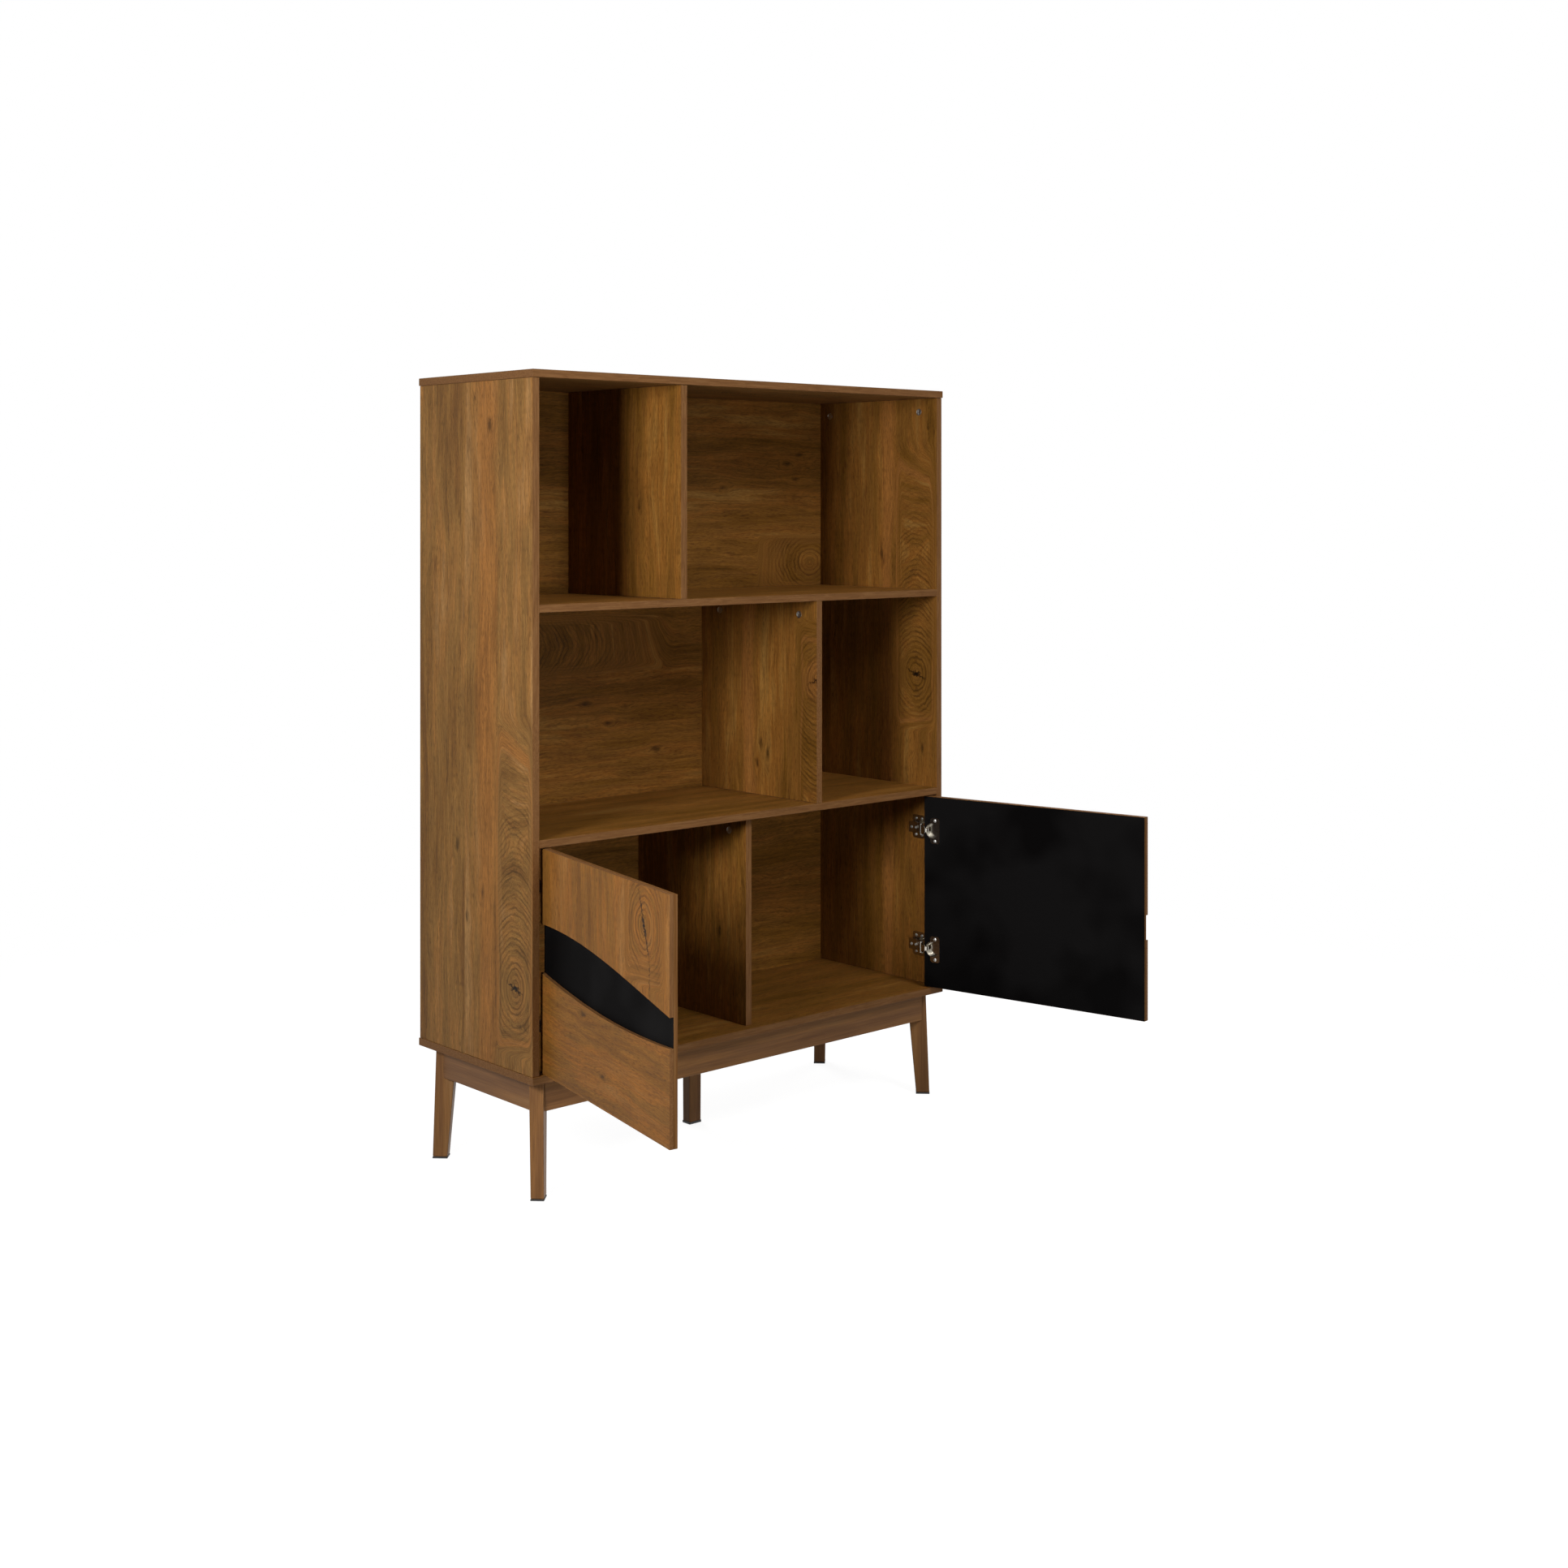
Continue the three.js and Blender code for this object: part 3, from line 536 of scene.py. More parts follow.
UPRIGHT = {"axes": ("Y", "X", "Z"), "face": (1, 0, 0)}  # across, through and along the grain
LYING = {"axes": ("Y", "Z", "X"), "face": (0, 0, 1)}
PALE_UPRIGHT = {**UPRIGHT, "tones": OAK_TONES}
# The boards inside the case take the copy of the tones with painted shade; the pale ones keep the
# print's own tones.
PAINTED_SHADE_UPRIGHT = {**UPRIGHT, "tones": PAINTED_SHADE_TONES}
PALE_LYING = {**LYING, "tones": OAK_TONES}
PAINTED_SHADE_LYING = {**LYING, "tones": PAINTED_SHADE_TONES}
STAR_CRACK = ((16, 38), (-12, 20), (60, 10))  # the angle and half length of each crack
LEFT_SIDE_KNOTS = [(-2, 1508), (-52, 1455), (60, 640), (-28, 560), (26, 505)]
MIDDLE_DIVIDER_KNOTS = [(-18, 790), (-40, 770), (-6, 745)]
CASE_BOARDS = (  # the piece, the end of its material's name, how it lies and what it shows
    (
        "left_side_panel",
        "left_side",
        {**PALE_UPRIGHT, "shift": (40, 0, 300), "plank": -137, "warm": (-44, 44)},
        {"rings": [(-137, 393, 1, 190, STAR_CRACK)], "knots": LEFT_SIDE_KNOTS},
    ),
    (
        "right_side_panel",
        "right_side",
        {**PAINTED_SHADE_UPRIGHT, "shift": (310, 60, 900), "plank": -137, "warm": (-40, 26)},
        {"rings": [(-129, 925, 1, 190, STAR_CRACK)], "knots": [(-150, 760), (-20, 1190)]},
    ),
    (
        "upper_divider",
        "upper_divider",
        {**PAINTED_SHADE_UPRIGHT, "shift": (610, 10, 120), "plank": -150},
        {"knots": [(-60, 1300)]},
    ),
    (
        "middle_divider",
        "middle_divider",
        {**PAINTED_SHADE_UPRIGHT, "shift": (870, 40, 520), "plank": -185, "warm": (20, 30)},
        {"rings": [(-196, 935, -1, 190, STAR_CRACK)], "knots": MIDDLE_DIVIDER_KNOTS},
    ),
    (
        "lower_divider",
        "lower_divider",
        {**PAINTED_SHADE_UPRIGHT, "shift": (90, 80, 1720), "plank": -120},
        {"knots": [(-90, 420)]},
    ),
    (
        "top_panel",
        "top",
        {**PALE_LYING, "shift": (0, 0, 2100), "plank": -60},
        {"rings": [(-60, 260, -1, 190, STAR_CRACK)], "knots": [(90, -300)]},
    ),
    ("upper_shelf", "upper_shelf", {**PAINTED_SHADE_LYING, "shift": (260, 0, 2900)}, {}),
    ("lower_shelf", "lower_shelf", {**PAINTED_SHADE_LYING, "shift": (520, 0, 3700), "plank": 40}, {}),
    (
        "bottom_panel",
        "bottom",
        {**PAINTED_SHADE_LYING, "shift": (780, 0, 4500), "plank": -30},
        {"knots": [(-70, 300)]},
    ),
)
for board, tag, lie, marks in CASE_BOARDS:
    dress(board, oak_print("oak_melamine_" + tag, **lie, **marks))

# Back sheets. 3 mm fibreboard printed with the same oak, its grain running sideways, slid
# into the grooves of the case; the rear face is left raw.

# The back sheets take the tones with painted shade.
SIDEWAYS = {"axes": ("Z", "Y", "X"), "tones": PAINTED_SHADE_TONES, "raw": (0, 1, 0)}
BACK_SHEETS = (
    (
        "upper",
        {"shift": (0, 0, 5300), "plank": 1170, "rings": [(1170, 500, -1, 60, ())]},
        [(1420, 468), (1343, 233), (1398, 430), (1362, 455)],
    ),
    (
        "middle",
        {"shift": (300, 0, 6100), "plank": 1000, "rings": [(1005, -430, 1, 190, ())]},
        [(868, -43), (880, -150), (835, -90), (770, 40)],
    ),
    ("lower", {"shift": (600, 0, 6900), "plank": 520}, [(560, 120), (430, 180)]),
)
for tier, lie, knots in BACK_SHEETS:
    sheet = oak_print("oak_print_fibreboard_" + tier, **SIDEWAYS, **lie, knots=knots)
    dress(tier + "_back_panel", sheet)

# Strips behind the shelves. Extruded brown-grey PVC of H section, pushed onto the edges of
# the two back sheets that it joins.

PVC_LINES = (3, 900, 900)  # per metre: lines 333 mm long and 1.1 mm wide
PVC_TONES = [(0.3, "#5b4a3a"), (0.7, "#6a5846")]

# Extruded plastic: a smooth skin with a little gloss and faint lines from the die.
pvc, tree = material("pvc_extruded_brown")
place = node(tree, "TexCoord").outputs["Object"]
lines = node(tree, "VectorMath", {0: place, 1: PVC_LINES}, operation="MULTIPLY")
lines = node(tree, "TexNoise", {"Vector": lines, "Scale": 1.0, "Detail": 2.0})
colour = node(tree, "ValToRGB", {0: lines}, stops=PVC_TONES)
rough = node(tree, "MapRange", {"Value": lines, "To Min": 0.38, "To Max": 0.5})
surface = node(tree, "BsdfPrincipled", {"Base Color": colour, "Roughness": rough, "IOR": 1.53})
node(tree, "OutputMaterial", {"Surface": surface})
dress("lower_back_strip", pvc)
dress("upper_back_strip", pvc)

# Legs. Solid rubberwood stained oak brown and sprayed with satin lacquer, finer and plainer
# than the print. The corner legs are turned an eighth, straight where they are bolted to
# their blocks and tapered below, deeper than wide.

STAIN_TONES = [(0.34, "#644326"), (0.46, "#745030"), (0.56, "#7f5832"), (0.68, "#8a653f")]
STAIN_BANDS = (30, 30, 1.6)  # per metre: bands 33 mm wide and 625 mm long
STAIN_PORES = (520, 520, 12)  # per metre: 1.9 mm wide, coarser than real pores, 83 mm long
LEG_TOP_X = 0.511  # the leg's middle at its top, from the middle of the case
LEG_TOP_Y = 0.1555
LEG_SPLAY_ASIDE = -0.0035

# height, half width, and how far its back and its front stand out from the middle line
LEG_TOP = (0.22275, 0.01375, -0.0175, 0.0197)
LEG_KNEE = (0.163, 0.0135, -0.0167, 0.0219)  # at the lower edge of the rails
LEG_FOOT = (0.0035, 0.01275, -0.0017, 0.0278)
LEG_EDGE = 0.002
SHARP_EDGE = 0.5  # radians between the faces of an edge that is rounded
CORNERS = [front + "_" + side for front in ("front", "back") for side in ("left", "right")]


def stained_wood(name, axes, shift):
    """Stained solid wood; axes are across, through and along its grain."""
    made, tree = material(name)
    parts = node(tree, "SeparateXYZ", {0: node(tree, "TexCoord").outputs["Object"]})
    across, through, along = (parts.outputs[axis] for axis in axes)
    place = node(tree, "CombineXYZ", {0: across, 1: through, 2: along})
    place = node(tree, "VectorMath", {0: place, 1: shift}, operation="ADD")
    bands = node(tree, "VectorMath", {0: place, 1: STAIN_BANDS}, operation="MULTIPLY")
    bands = {"Vector": bands, "Scale": 1.0, "Detail": 4.0, "Roughness": 0.6}
    colour = node(tree, "ValToRGB", {0: node(tree, "TexNoise", bands)}, stops=STAIN_TONES)
    fine = node(tree, "VectorMath", {0: place, 1: STAIN_PORES}, operation="MULTIPLY")
    fine = {"Vector": fine, "Scale": 1.0, "Detail": 3.0, "Roughness": 0.6}
    fine = node(tree, "TexNoise", fine)
    shade = {"Value": fine, "From Min": 0.3, "From Max": 0.7, "To Min": 0.78, "To Max": 1.14}
    shade = node(tree, "MapRange", shade)
    colour = node(tree, "VectorMath", {0: colour, "Scale": shade}, operation="SCALE")

    # Stain sinks into the pores and darkens them; the lacquer over it gives a satin sheen.
    rough = node(tree, "MapRange", {"Value": fine, "To Min": 0.36, "To Max": 0.5})
    surface = {"Base Color": colour, "Roughness": rough, "IOR": 1.5, "Specular IOR Level": 0.14}
    surface["Normal"] = node(tree, "Bump", {"Height": fine, "Strength": 0.2, "Distance": 0.0001})
    node(tree, "OutputMaterial", {"Surface": node(tree, "BsdfPrincipled", surface)})
    return made


def sawn(name, loops, edge, finish):
    """A piece that takes the place of the CAD node of that name: loops of points one above
    the other, joined by flat faces, with its sharp edges rounded."""
    bm = bmesh.new()
    rows = [[bm.verts.new(point) for point in loop] for loop in loops]
    for lower, upper in zip(rows, rows[1:]):
        for k in range(len(lower)):
            j = (k + 1) % len(lower)
            bm.faces.new((lower[k], lower[j], upper[j], upper[k]))
    bm.faces.new(rows[0])
    bm.faces.new(rows[-1])
    bmesh.ops.recalc_face_normals(bm, faces=bm.faces)
    sharp = [e for e in bm.edges if e.calc_face_angle() > SHARP_EDGE]
    bmesh.ops.bevel(bm, geom=sharp, offset=edge, segments=3, profile=0.5, affect="EDGES")
    made = piece(name + "_sawn", bm, finish)
    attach(made, "case")
    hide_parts(name)


def leg_section(corner, z, aside, half_width, back, front):
    """The four corners of a turned leg's section at one height."""
    way_x = 1 if corner.endswith("right") else -1
    way_y = 1 if corner.startswith("back") else -1
    loop = []
    for out, side in ((back, -1), (front, -1), (front, 1), (back, 1)):
        over = aside + side * half_width
        x = LEG_TOP_X + (out + over) * math.sqrt(0.5)
        y = LEG_TOP_Y + (out - over) * math.sqrt(0.5)
        loop.append((way_x * x, way_y * y, z))
    return loop


leg_finish = stained_wood("rubberwood_stained_leg", ("X", "Y", "Z"), (0.3, 0.1, 0))
for corner in CORNERS:
    loops = []
    for z, half_width, back, front in (LEG_TOP, LEG_KNEE, LEG_FOOT):
        aside = LEG_SPLAY_ASIDE * (LEG_TOP[0] - z) / LEG_TOP[0]
        loops.append(leg_section(corner, z, aside, half_width, back, front))
    sawn(corner + "_leg", loops, LEG_EDGE, leg_finish)
dress("middle_leg", leg_finish)

# Rails. The same stained wood, standing under the bottom panel on all four sides; each end
# is mitred to lie along the side face of the turned leg that it meets.

RAIL_GAP = 0.001  # beside the leg
RAIL_REACH = math.sqrt(2) * (LEG_TOP[1] + RAIL_GAP)
RAIL_EDGE = 0.0008
cross_finish = stained_wood("rubberwood_stained_cross_rail", ("Z", "Y", "X"), (0.9, 0, 0.5))
side_finish = stained_wood("rubberwood_stained_side_rail", ("Z", "X", "Y"), (1.4, 0, 0.2))
for name, along, finish in (
    ("front_rail", 0, cross_finish),
    ("back_rail", 0, cross_finish),
    ("left_rail", 1, side_finish),
    ("right_rail", 1, side_finish),
):
    low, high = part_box(name)
    leg_along, leg_across = (LEG_TOP_X, LEG_TOP_Y) if along == 0 else (LEG_TOP_Y, LEG_TOP_X)
    plan = []
    for face, way in ((low, -1), (low, 1), (high, 1), (high, -1)):
        across = face[1 - along]
        end = way * (leg_along - RAIL_REACH + abs(across) - leg_across)
        plan.append((end, across) if along == 0 else (across, end))
    loops = [[(x, y, z) for x, y in plan] for z in (low[2], high[2])]
    sawn(name, loops, RAIL_EDGE, finish)

# Corner blocks. Sawn pine, set across the corner behind each leg, between the two rails;
# the leg's bolt comes through it.

PINE_YEARS = (160, 160, 6)  # per metre: a year is 6.3 mm wide and runs 167 mm
PINE_FUZZ = (900, 900, 120)  # per metre: 1.1 mm wide, coarser than real fibres, and 8 mm long
PINE_TONES = [(0.35, "#a9855a"), (0.5, "#c4a376"), (0.65, "#cfb186")]

# Sawn softwood: pale and matt, with the wide bands of a fast-grown tree and the saw's fuzz.
pine, tree = material("pine_sawn")
place = node(tree, "TexCoord").outputs["Object"]
years = node(tree, "VectorMath", {0: place, 1: PINE_YEARS}, operation="MULTIPLY")
years = node(tree, "TexNoise", {"Vector": years, "Scale": 1.0, "Detail": 2.0})
fuzz = node(tree, "VectorMath", {0: place, 1: PINE_FUZZ}, operation="MULTIPLY")
fuzz = node(tree, "TexNoise", {"Vector": fuzz, "Scale": 1.0, "Detail": 3.0})
colour = node(tree, "ValToRGB", {0: years}, stops=PINE_TONES)
rough = node(tree, "MapRange", {"Value": fuzz, "To Min": 0.7, "To Max": 0.9})
bump = node(tree, "Bump", {"Height": fuzz, "Strength": 0.5, "Distance": 0.0003})
surface = {"Base Color": colour, "Roughness": rough, "Normal": bump, "IOR": 1.5}
node(tree, "OutputMaterial", {"Surface": node(tree, "BsdfPrincipled", surface)})
for corner in CORNERS:
    dress(corner + "_corner_block", pine)

# Glides. Moulded black polyethylene pads nailed under the feet, a hair wider than the foot
# all round on the corner legs.

GLIDE_GRAIN = 1400  # per metre: 0.7 mm, coarser than the mould's real grain
GLIDE_SCUFFS = 220.0  # per metre: 4.5 mm
GLIDE_TONES = [(0.4, "#141313"), (0.75, "#2a2725")]
GLIDE_PROUD = 0.0004
GLIDE_GAP = 0.0002  # under the foot
GLIDE_EDGE = 0.0009

# Moulded plastic: black with the mould's matt grain and paler scuffs from the floor.
glide_black, tree = material("polyethylene_moulded_black")
place = node(tree, "TexCoord").outputs["Object"]
grain = node(tree, "VectorMath", {0: place, 1: (GLIDE_GRAIN,) * 3}, operation="MULTIPLY")
grain = node(tree, "TexNoise", {"Vector": grain, "Scale": 1.0, "Detail": 1.0})
scuffs = node(tree, "TexNoise", {"Vector": place, "Scale": GLIDE_SCUFFS, "Detail": 3.0})
colour = node(tree, "ValToRGB", {0: scuffs}, stops=GLIDE_TONES)
rough = node(tree, "MapRange", {"Value": grain, "To Min": 0.45, "To Max": 0.65})
bump = node(tree, "Bump", {"Height": grain, "Strength": 0.3, "Distance": 0.0002})
surface = {"Base Color": colour, "Roughness": rough, "Normal": bump, "IOR": 1.51}
node(tree, "OutputMaterial", {"Surface": node(tree, "BsdfPrincipled", surface)})
foot_z, foot_half_width, foot_back, foot_front = LEG_FOOT
for corner in CORNERS:
    loops = []
    for z in (0.0, foot_z - GLIDE_GAP):
        sides = (foot_half_width + GLIDE_PROUD, foot_back - GLIDE_PROUD, foot_front + GLIDE_PROUD)
        loops.append(leg_section(corner, z, LEG_SPLAY_ASIDE, *sides))
    sawn(corner + "_glide", loops, GLIDE_EDGE, glide_black)
dress("middle_glide", glide_black)

# Doors. Two thin boards glued face to face: a black melamine backing, and an oak-print
# facing in two parts that leaves the leaf-shaped recess bare. They stand 102 degrees open.

OPEN = math.radians(102)
LEFT_CORNER = (-0.5217974, -0.1799998, 0.24)  # hinge edge and outer face of the open left door
RIGHT_CORNER = (0.5217974, -0.1799998, 0.24)
DOOR_TONES = [
    (0.3, "#6c461c"),
    (0.4, "#754c1e"),
    (0.48, "#7d5423"),
    (0.56, "#845422"),
    (0.63, "#895b29"),
    (0.72, "#916534"),
]
DOOR_RING = (352, -1, 38, ((66, 74), (48, 22)))  # along the grain, way, reach and long cracks
DOOR_RING_OUT = 437  # from the hinge edge, on either door
DOOR_RING_ROOM = 72
UPPER_PLANK_OUT = 441
LOWER_PLANK = 60
BLACK_TONES = [(0.4, "#090808"), (0.6, "#131212")]
BLACK_GRAIN = 700.0  # per metre: 1.4 mm, coarser than the press plate's real grain
BLACK_CLOUDS = 6.0  # per metre: 167 mm
BLACK_TAPE = (300, 300, 7)  # per metre: fibres 3.3 mm wide and 143 mm long


def black_board(name, face):
    """Black melamine on the two broad faces, whose normal is face, and oak tape all round."""
    made, tree = material(name)
    coordinates = node(tree, "TexCoord").outputs
    place = coordinates["Object"]
    grain = node(tree, "TexNoise", {"Vector": place, "Scale": BLACK_GRAIN, "Detail": 2.0})
    cloud = node(tree, "TexNoise", {"Vector": place, "Scale": BLACK_CLOUDS, "Detail": 2.0})
    colour = node(tree, "ValToRGB", {0: cloud}, stops=BLACK_TONES)
    fibres = node(tree, "VectorMath", {0: place, 1: BLACK_TAPE}, operation="MULTIPLY")
    fibres = node(tree, "TexNoise", {"Vector": fibres, "Scale": 1.0, "Detail": 3.0})
    tape = node(tree, "ValToRGB", {0: fibres}, stops=TAPE_TONES)
    taped = on_tape(tree, coordinates["Normal"], face)
    colour = node(tree, "Mix", {0: taped, 6: colour, 7: tape}, data_type="RGBA")

    # Pressed melamine: an even black with a dull sheen, so that hardly any light comes back.
    rough = node(tree, "MapRange", {"Value": grain, "To Min": 0.5, "To Max": 0.68})
    surface = {"Base Color": colour, "Roughness": rough, "IOR": 1.5, "Specular IOR Level": 0.012}
    surface["Normal"] = node(tree, "Bump", {"Height": grain, "Strength": 0.2, "Distance": 0.0001})
    node(tree, "OutputMaterial", {"Surface": node(tree, "BsdfPrincipled", surface)})
    return made


DOORS = (  # side, way, hinge corner, places of the facings on the paper and knots of the lower
    ("left", 1, LEFT_CORNER, (1400, 0, 100), (1700, 0, 800), [(150, 190), (58, 272)]),
    ("right", -1, RIGHT_CORNER, (2000, 0, 1500), (2300, 0, 2200), [(150, -190)]),
)
for side, way, corner, upper_shift, lower_shift, knots in DOORS:
    turn = way * OPEN
    face = (math.sin(-turn), -math.cos(turn), 0)
    lie = {"turn": turn, "corner": corner, "face": face, "tones": DOOR_TONES}
    upper = oak_print(
        f"oak_melamine_{side}_door_upper",
        ("X", "Y", "Z"),
        upper_shift,
        plank=way * UPPER_PLANK_OUT,
        rings=[(way * DOOR_RING_OUT, *DOOR_RING)],
        room=DOOR_RING_ROOM,
        **lie,
    )
    lower = oak_print(
        f"oak_melamine_{side}_door_lower",
        ("Z", "Y", "X"),
        lower_shift,
        plank=LOWER_PLANK,
        knots=knots,
        **lie,
    )
    dress(f"{side}_door_upper_facing", upper)
    dress(f"{side}_door_lower_facing", lower)
    dress(f"{side}_door_backing", black_board(f"black_melamine_{side}_door", face))

# Hinges. Cup, link, arm and plate pressed from steel strip and nickel plated. The cup sits in
# its bore in the door's backing under two screws, and the plate is screwed to the side panel.

NICKEL_MARKS = (250, 250, 1800)  # per metre: drawing marks 4 mm long and 0.6 mm apart
NICKEL_TONES = [(0.3, "#b3aea4"), (0.7, "#cbc7be")]

# Plated strip: bright and a little warm, softened by tumbling, with faint marks of the die.
nickel, tree = material("steel_pressed_nickel_plated")
place = node(tree, "TexCoord").outputs["Object"]
marks = node(tree, "VectorMath", {0: place, 1: NICKEL_MARKS}, operation="MULTIPLY")
marks = node(tree, "TexNoise", {"Vector": marks, "Scale": 1.0, "Detail": 3.0})
colour = node(tree, "ValToRGB", {0: marks}, stops=NICKEL_TONES)
rough = node(tree, "MapRange", {"Value": marks, "To Min": 0.14, "To Max": 0.26})
bump = node(tree, "Bump", {"Height": marks, "Strength": 0.15, "Distance": 0.0001})
surface = {"Base Color": colour, "Metallic": 1.0, "Roughness": rough, "Normal": bump}
node(tree, "OutputMaterial", {"Surface": node(tree, "BsdfPrincipled", surface)})
for side in ("left", "right"):
    for level in ("upper", "lower"):
        for part in ("cup", "link", "arm", "plate"):
            dress(f"{side}_{level}_hinge_{part}", nickel)

# Screws and cam fittings. Zinc-plated cross-head screws hold cups, plates and arms; die-cast
# cams, set flush in the boards, draw the bolts of the next board in. Turned, then struck.

SEGMENTS = 32
CROSS_REACH = 0.62  # of the head's radius
CUP_SCREW_ALONG = 0.0275  # from the door's hinge edge, and in from its outer face
CUP_SCREW_IN = 0.01655
CUP_SCREW_Z = 0.0225  # above and below the middle of the hinge
CUP_SCREW = (0.0037, 0.0018)  # radius and height of the head
PLATE_SCREW_OFF = 0.0023  # from the side panel, on the plate's wings
PLATE_SCREW_Z = 0.018
PLATE_SCREW_Y = (0.011, 0.029)  # from the plate's front edge
PLATE_SCREW = (0.0034, 0.0017)
ARM_SCREW_OFF = 0.01505
ARM_SCREW_Y = (0.018, 0.031)
ARM_SCREW = (0.0032, 0.0014)
CAM = (0.0075, 0.0006)
CAM_BELOW = 0.03  # from the underside of the board above to the middle of the cam
CAM_OFF = 0.00005  # from the board's face
ZINC_SPANGLE = 900.0  # per metre: 1.1 mm
ZINC_TONES = [(0.35, "#a9a8a4"), (0.65, "#c9c8c5")]

# Zinc plate: grey and cooler than the nickel, a little cloudy, softer in its highlights.
zinc, tree = material("steel_zinc_plated")
place = node(tree, "TexCoord").outputs["Object"]
spangle = node(tree, "TexNoise", {"Vector": place, "Scale": ZINC_SPANGLE, "Detail": 2.0})
colour = node(tree, "ValToRGB", {0: spangle}, stops=ZINC_TONES)
rough = node(tree, "MapRange", {"Value": spangle, "To Min": 0.24, "To Max": 0.42})
bump = node(tree, "Bump", {"Height": spangle, "Strength": 0.15, "Distance": 0.0001})
surface = {"Base Color": colour, "Metallic": 1.0, "Roughness": rough, "Normal": bump}
node(tree, "OutputMaterial", {"Surface": node(tree, "BsdfPrincipled", surface)})


def turned(bm, rings, segments=SEGMENTS, cross=0.0, depth=0.0):
    """A turned form of (radius, height) rings, closed at both ends. A cross of this half
    width is struck into its top, over the inner six tenths of its radius."""
    widest = max(radius for radius, height in rings)
    loops = []
    for radius, height in rings:
        loop = []
        inner = cross and height > 0 and radius < CROSS_REACH * widest
        for k in range(segments):
            angle = 2 * math.pi * (k + 0.5) / segments
            x = radius * math.cos(angle)
            y = radius * math.sin(angle)
            struck = inner and min(abs(x), abs(y)) < cross
            loop.append(bm.verts.new((x, y, height - depth if struck else height)))
        loops.append(loop)
    for lower, upper in zip(loops, loops[1:]):
        for k in range(segments):
            j = (k + 1) % segments
            bm.faces.new((lower[k], lower[j], upper[j], upper[k]))
    bm.faces.new(list(reversed(loops[0])))
    bm.faces.new(loops[-1])


def fastener(name, place, out, body, *forms):
    """A piece of turned forms that stands on a place and points outwards."""
    bm = bmesh.new()
    for form in forms:
        turned(bm, **form)
    lie = Matrix.Translation(place) @ Vector(out).to_track_quat("Z", "Y").to_matrix().to_4x4()
    bmesh.ops.transform(bm, matrix=lie, verts=bm.verts)
    made = piece(name, bm, zinc)
    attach(made, body)


def pan_head(radius, height, rim=0.35, dome=0.75, cross=0.16, depth=0.6):
    """A domed head with a cross recess. Its rim, dome, cross and depth are shares."""
    rings = [(radius, 0.0), (radius, rim * height)]
    for share in (0.94, 0.8, 0.62, 0.61, 0.45, 0.3, 0.15, 0.04):
        rings.append((share * radius, height * math.sqrt(1 - dome * share**2)))
    return {"rings": rings, "cross": cross * radius, "depth": depth * height}


def cam_head(radius, height, disc=0.55, cross=0.15, depth=0.5):
    """A flat disc within a raised rim, with a cross recess, in shares like those above."""
    shares = [(1.0, 0.0), (1.0, 0.8), (0.96, 1.0), (0.86, 1.0)]
    for share in (0.82, 0.61, 0.6, 0.45, 0.3, 0.15, 0.04):
        shares.append((share, disc))
    rings = [(r * radius, h * height) for r, h in shares]
    return {"rings": rings, "cross": cross * radius, "depth": depth * height}


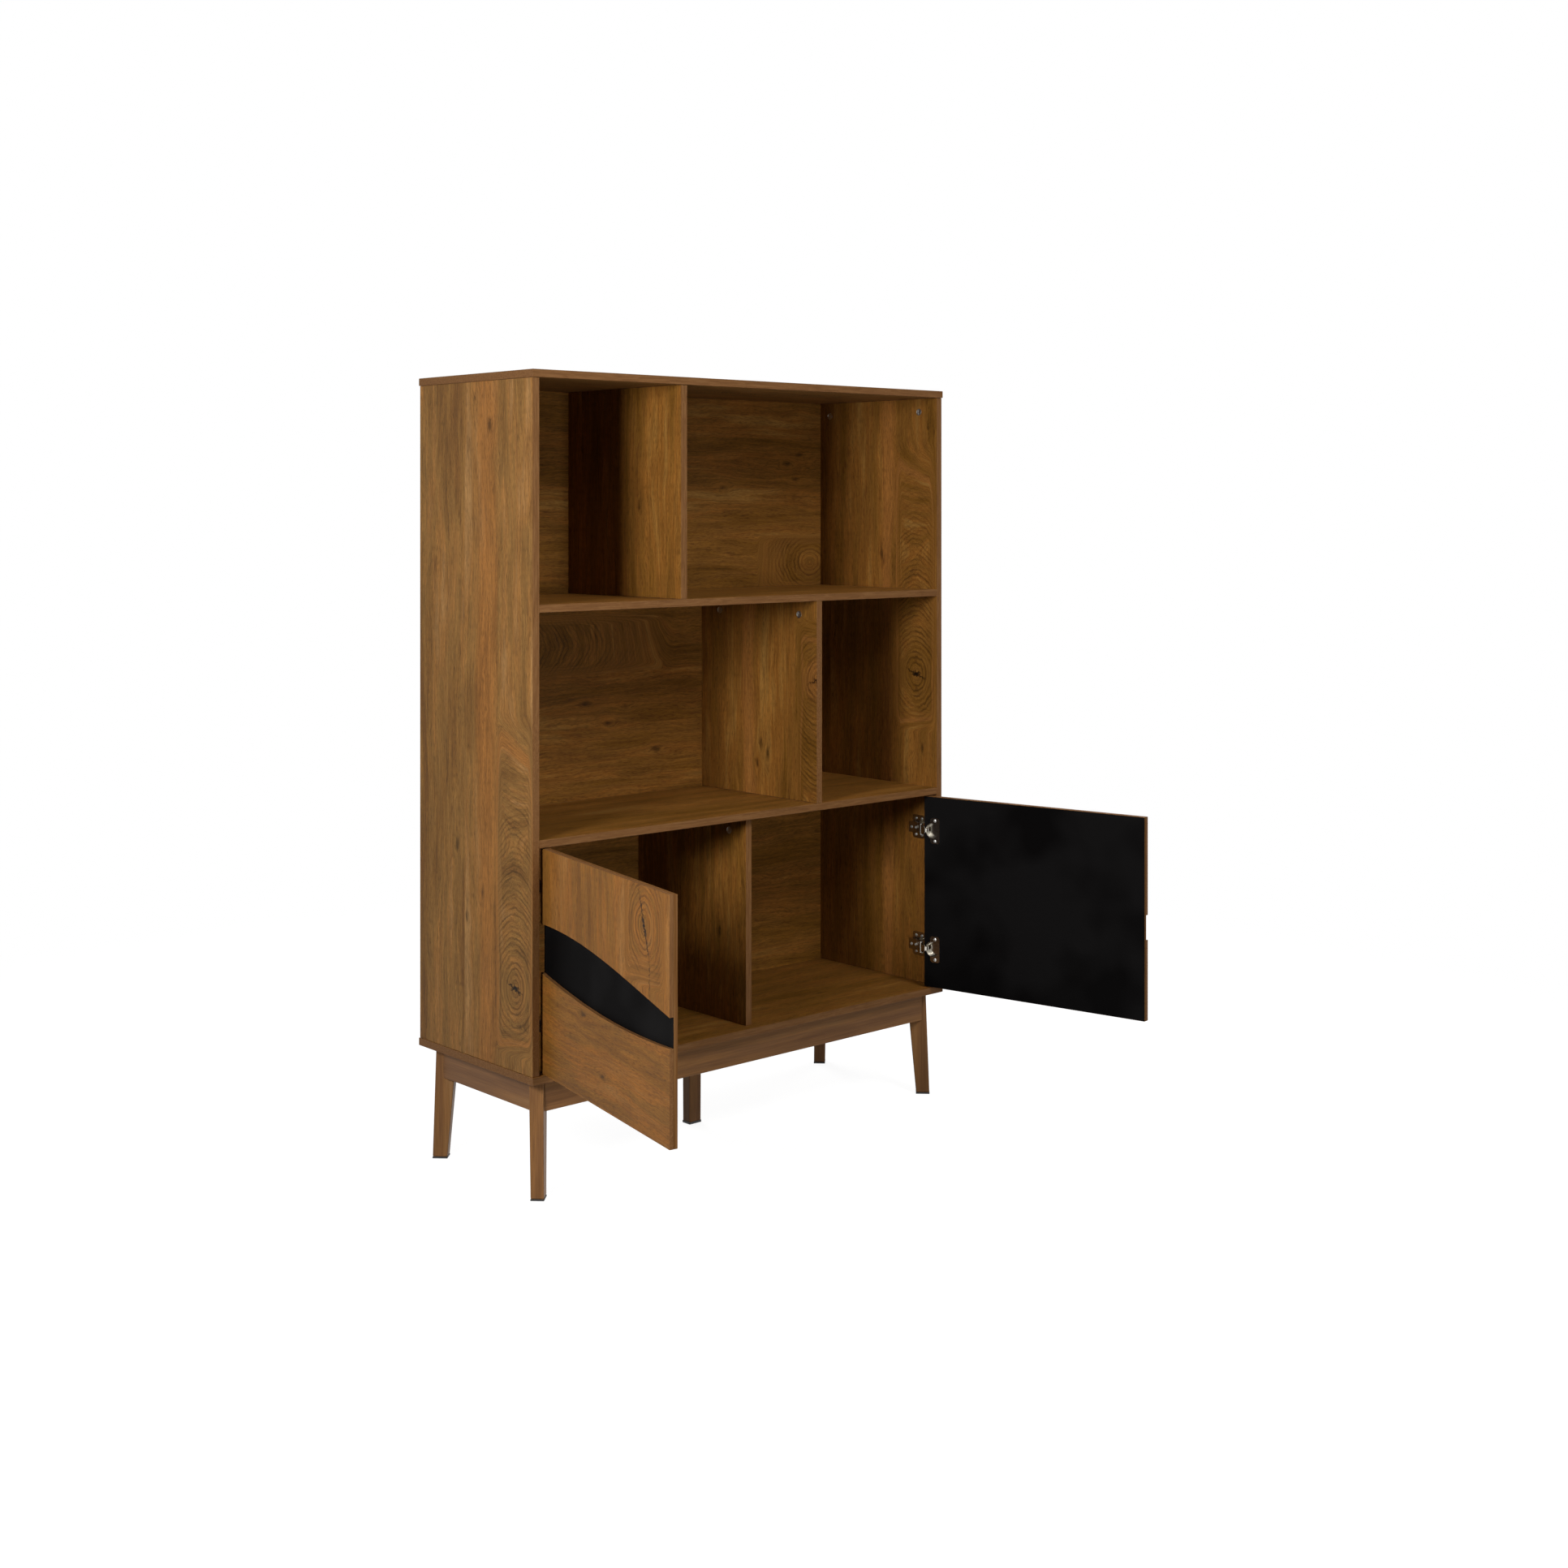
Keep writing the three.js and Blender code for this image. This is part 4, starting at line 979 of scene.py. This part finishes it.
for side, sign, corner in (("left", -1, LEFT_CORNER), ("right", 1, RIGHT_CORNER)):
    inwards = (-sign, 0, 0)
    panel_low, panel_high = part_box(f"{side}_side_panel")
    wall = panel_low[0] if sign > 0 else panel_high[0]
    lie = Matrix.Rotation(sign * OPEN, 3, "Z")
    out = lie @ Vector((0, 1, 0))
    for level in ("upper", "lower"):
        hinge = f"{side}_{level}"
        low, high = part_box(hinge + "_hinge_plate")
        z = (low[2] + high[2]) / 2
        for tag, up in (("top", 1), ("bottom", -1)):
            spot = Vector(corner) + lie @ Vector((-sign * CUP_SCREW_ALONG, CUP_SCREW_IN, 0))
            spot.z = z + up * CUP_SCREW_Z
            fastener(f"{hinge}_cup_screw_{tag}", spot, out, f"{side}_door", pan_head(*CUP_SCREW))
            for end, y in zip(("front", "rear"), PLATE_SCREW_Y):
                name = f"{hinge}_plate_screw_{end}_{tag}"
                spot = (wall - sign * PLATE_SCREW_OFF, low[1] + y, z + up * PLATE_SCREW_Z)
                fastener(name, spot, inwards, "case", pan_head(*PLATE_SCREW))
        for end, y in zip(("front", "rear"), ARM_SCREW_Y):
            spot = (wall - sign * ARM_SCREW_OFF, low[1] + y, z)
            fastener(f"{hinge}_arm_screw_{end}", spot, inwards, "case", pan_head(*ARM_SCREW))

BOARDS_WITH_CAMS = (  # the board, the way its cams face, the board above and their places
    ("left_side_panel", 1, "top_panel", (-0.139, 0.15)),
    ("right_side_panel", -1, "top_panel", (-0.139, 0.15)),
    ("upper_divider", 1, "top_panel", (-0.139, 0.12)),
    ("middle_divider", -1, "upper_shelf", (-0.139, 0.12)),
    ("lower_divider", -1, "lower_shelf", (-0.121, 0.12)),
)
for board, way, above, cam_places in BOARDS_WITH_CAMS:
    low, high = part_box(board)
    face_x = high[0] if way > 0 else low[0]
    for end, y in zip(("front", "rear"), cam_places):
        spot = (face_x + way * CAM_OFF, y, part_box(above)[0][2] - CAM_BELOW)
        fastener(f"{board}_cam_{end}", spot, (way, 0, 0), "case", cam_head(*CAM))

# Leg bolts. A hanger bolt in each leg comes through its corner block and is drawn tight by
# a hexagon nut on a washer, all zinc plated.

WASHER = {"rings": [(0.0085, 0.0), (0.009, 0.0003), (0.009, 0.0013), (0.0085, 0.0016)]}
NUT_RINGS = [(0.0069, 0.0016), (0.0075, 0.0022), (0.0075, 0.0075), (0.0069, 0.0081)]
NUT = {"rings": NUT_RINGS, "segments": 6}
NUT_TOP = NUT_RINGS[-1][1]
THREAD_PITCH = 0.0012
THREAD_RADII = (0.0032, 0.0037)  # its root and its crest
THREAD = [(THREAD_RADII[k % 2], NUT_TOP + k * THREAD_PITCH / 2) for k in range(15)]
BOLT = {"rings": THREAD + [(0.0024, 0.0174)], "segments": 16}
WASHER_OFF = 0.0001  # from the middle of the block's box, which lies on its inner face

for corner in CORNERS:
    low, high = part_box(corner + "_corner_block")
    middle = (Vector(low) + Vector(high)) / 2
    out = Vector((-math.copysign(1, middle.x), -math.copysign(1, middle.y), 0)).normalized()
    fastener(corner + "_leg_bolt", middle + out * WASHER_OFF, out, "case", WASHER, NUT, BOLT)
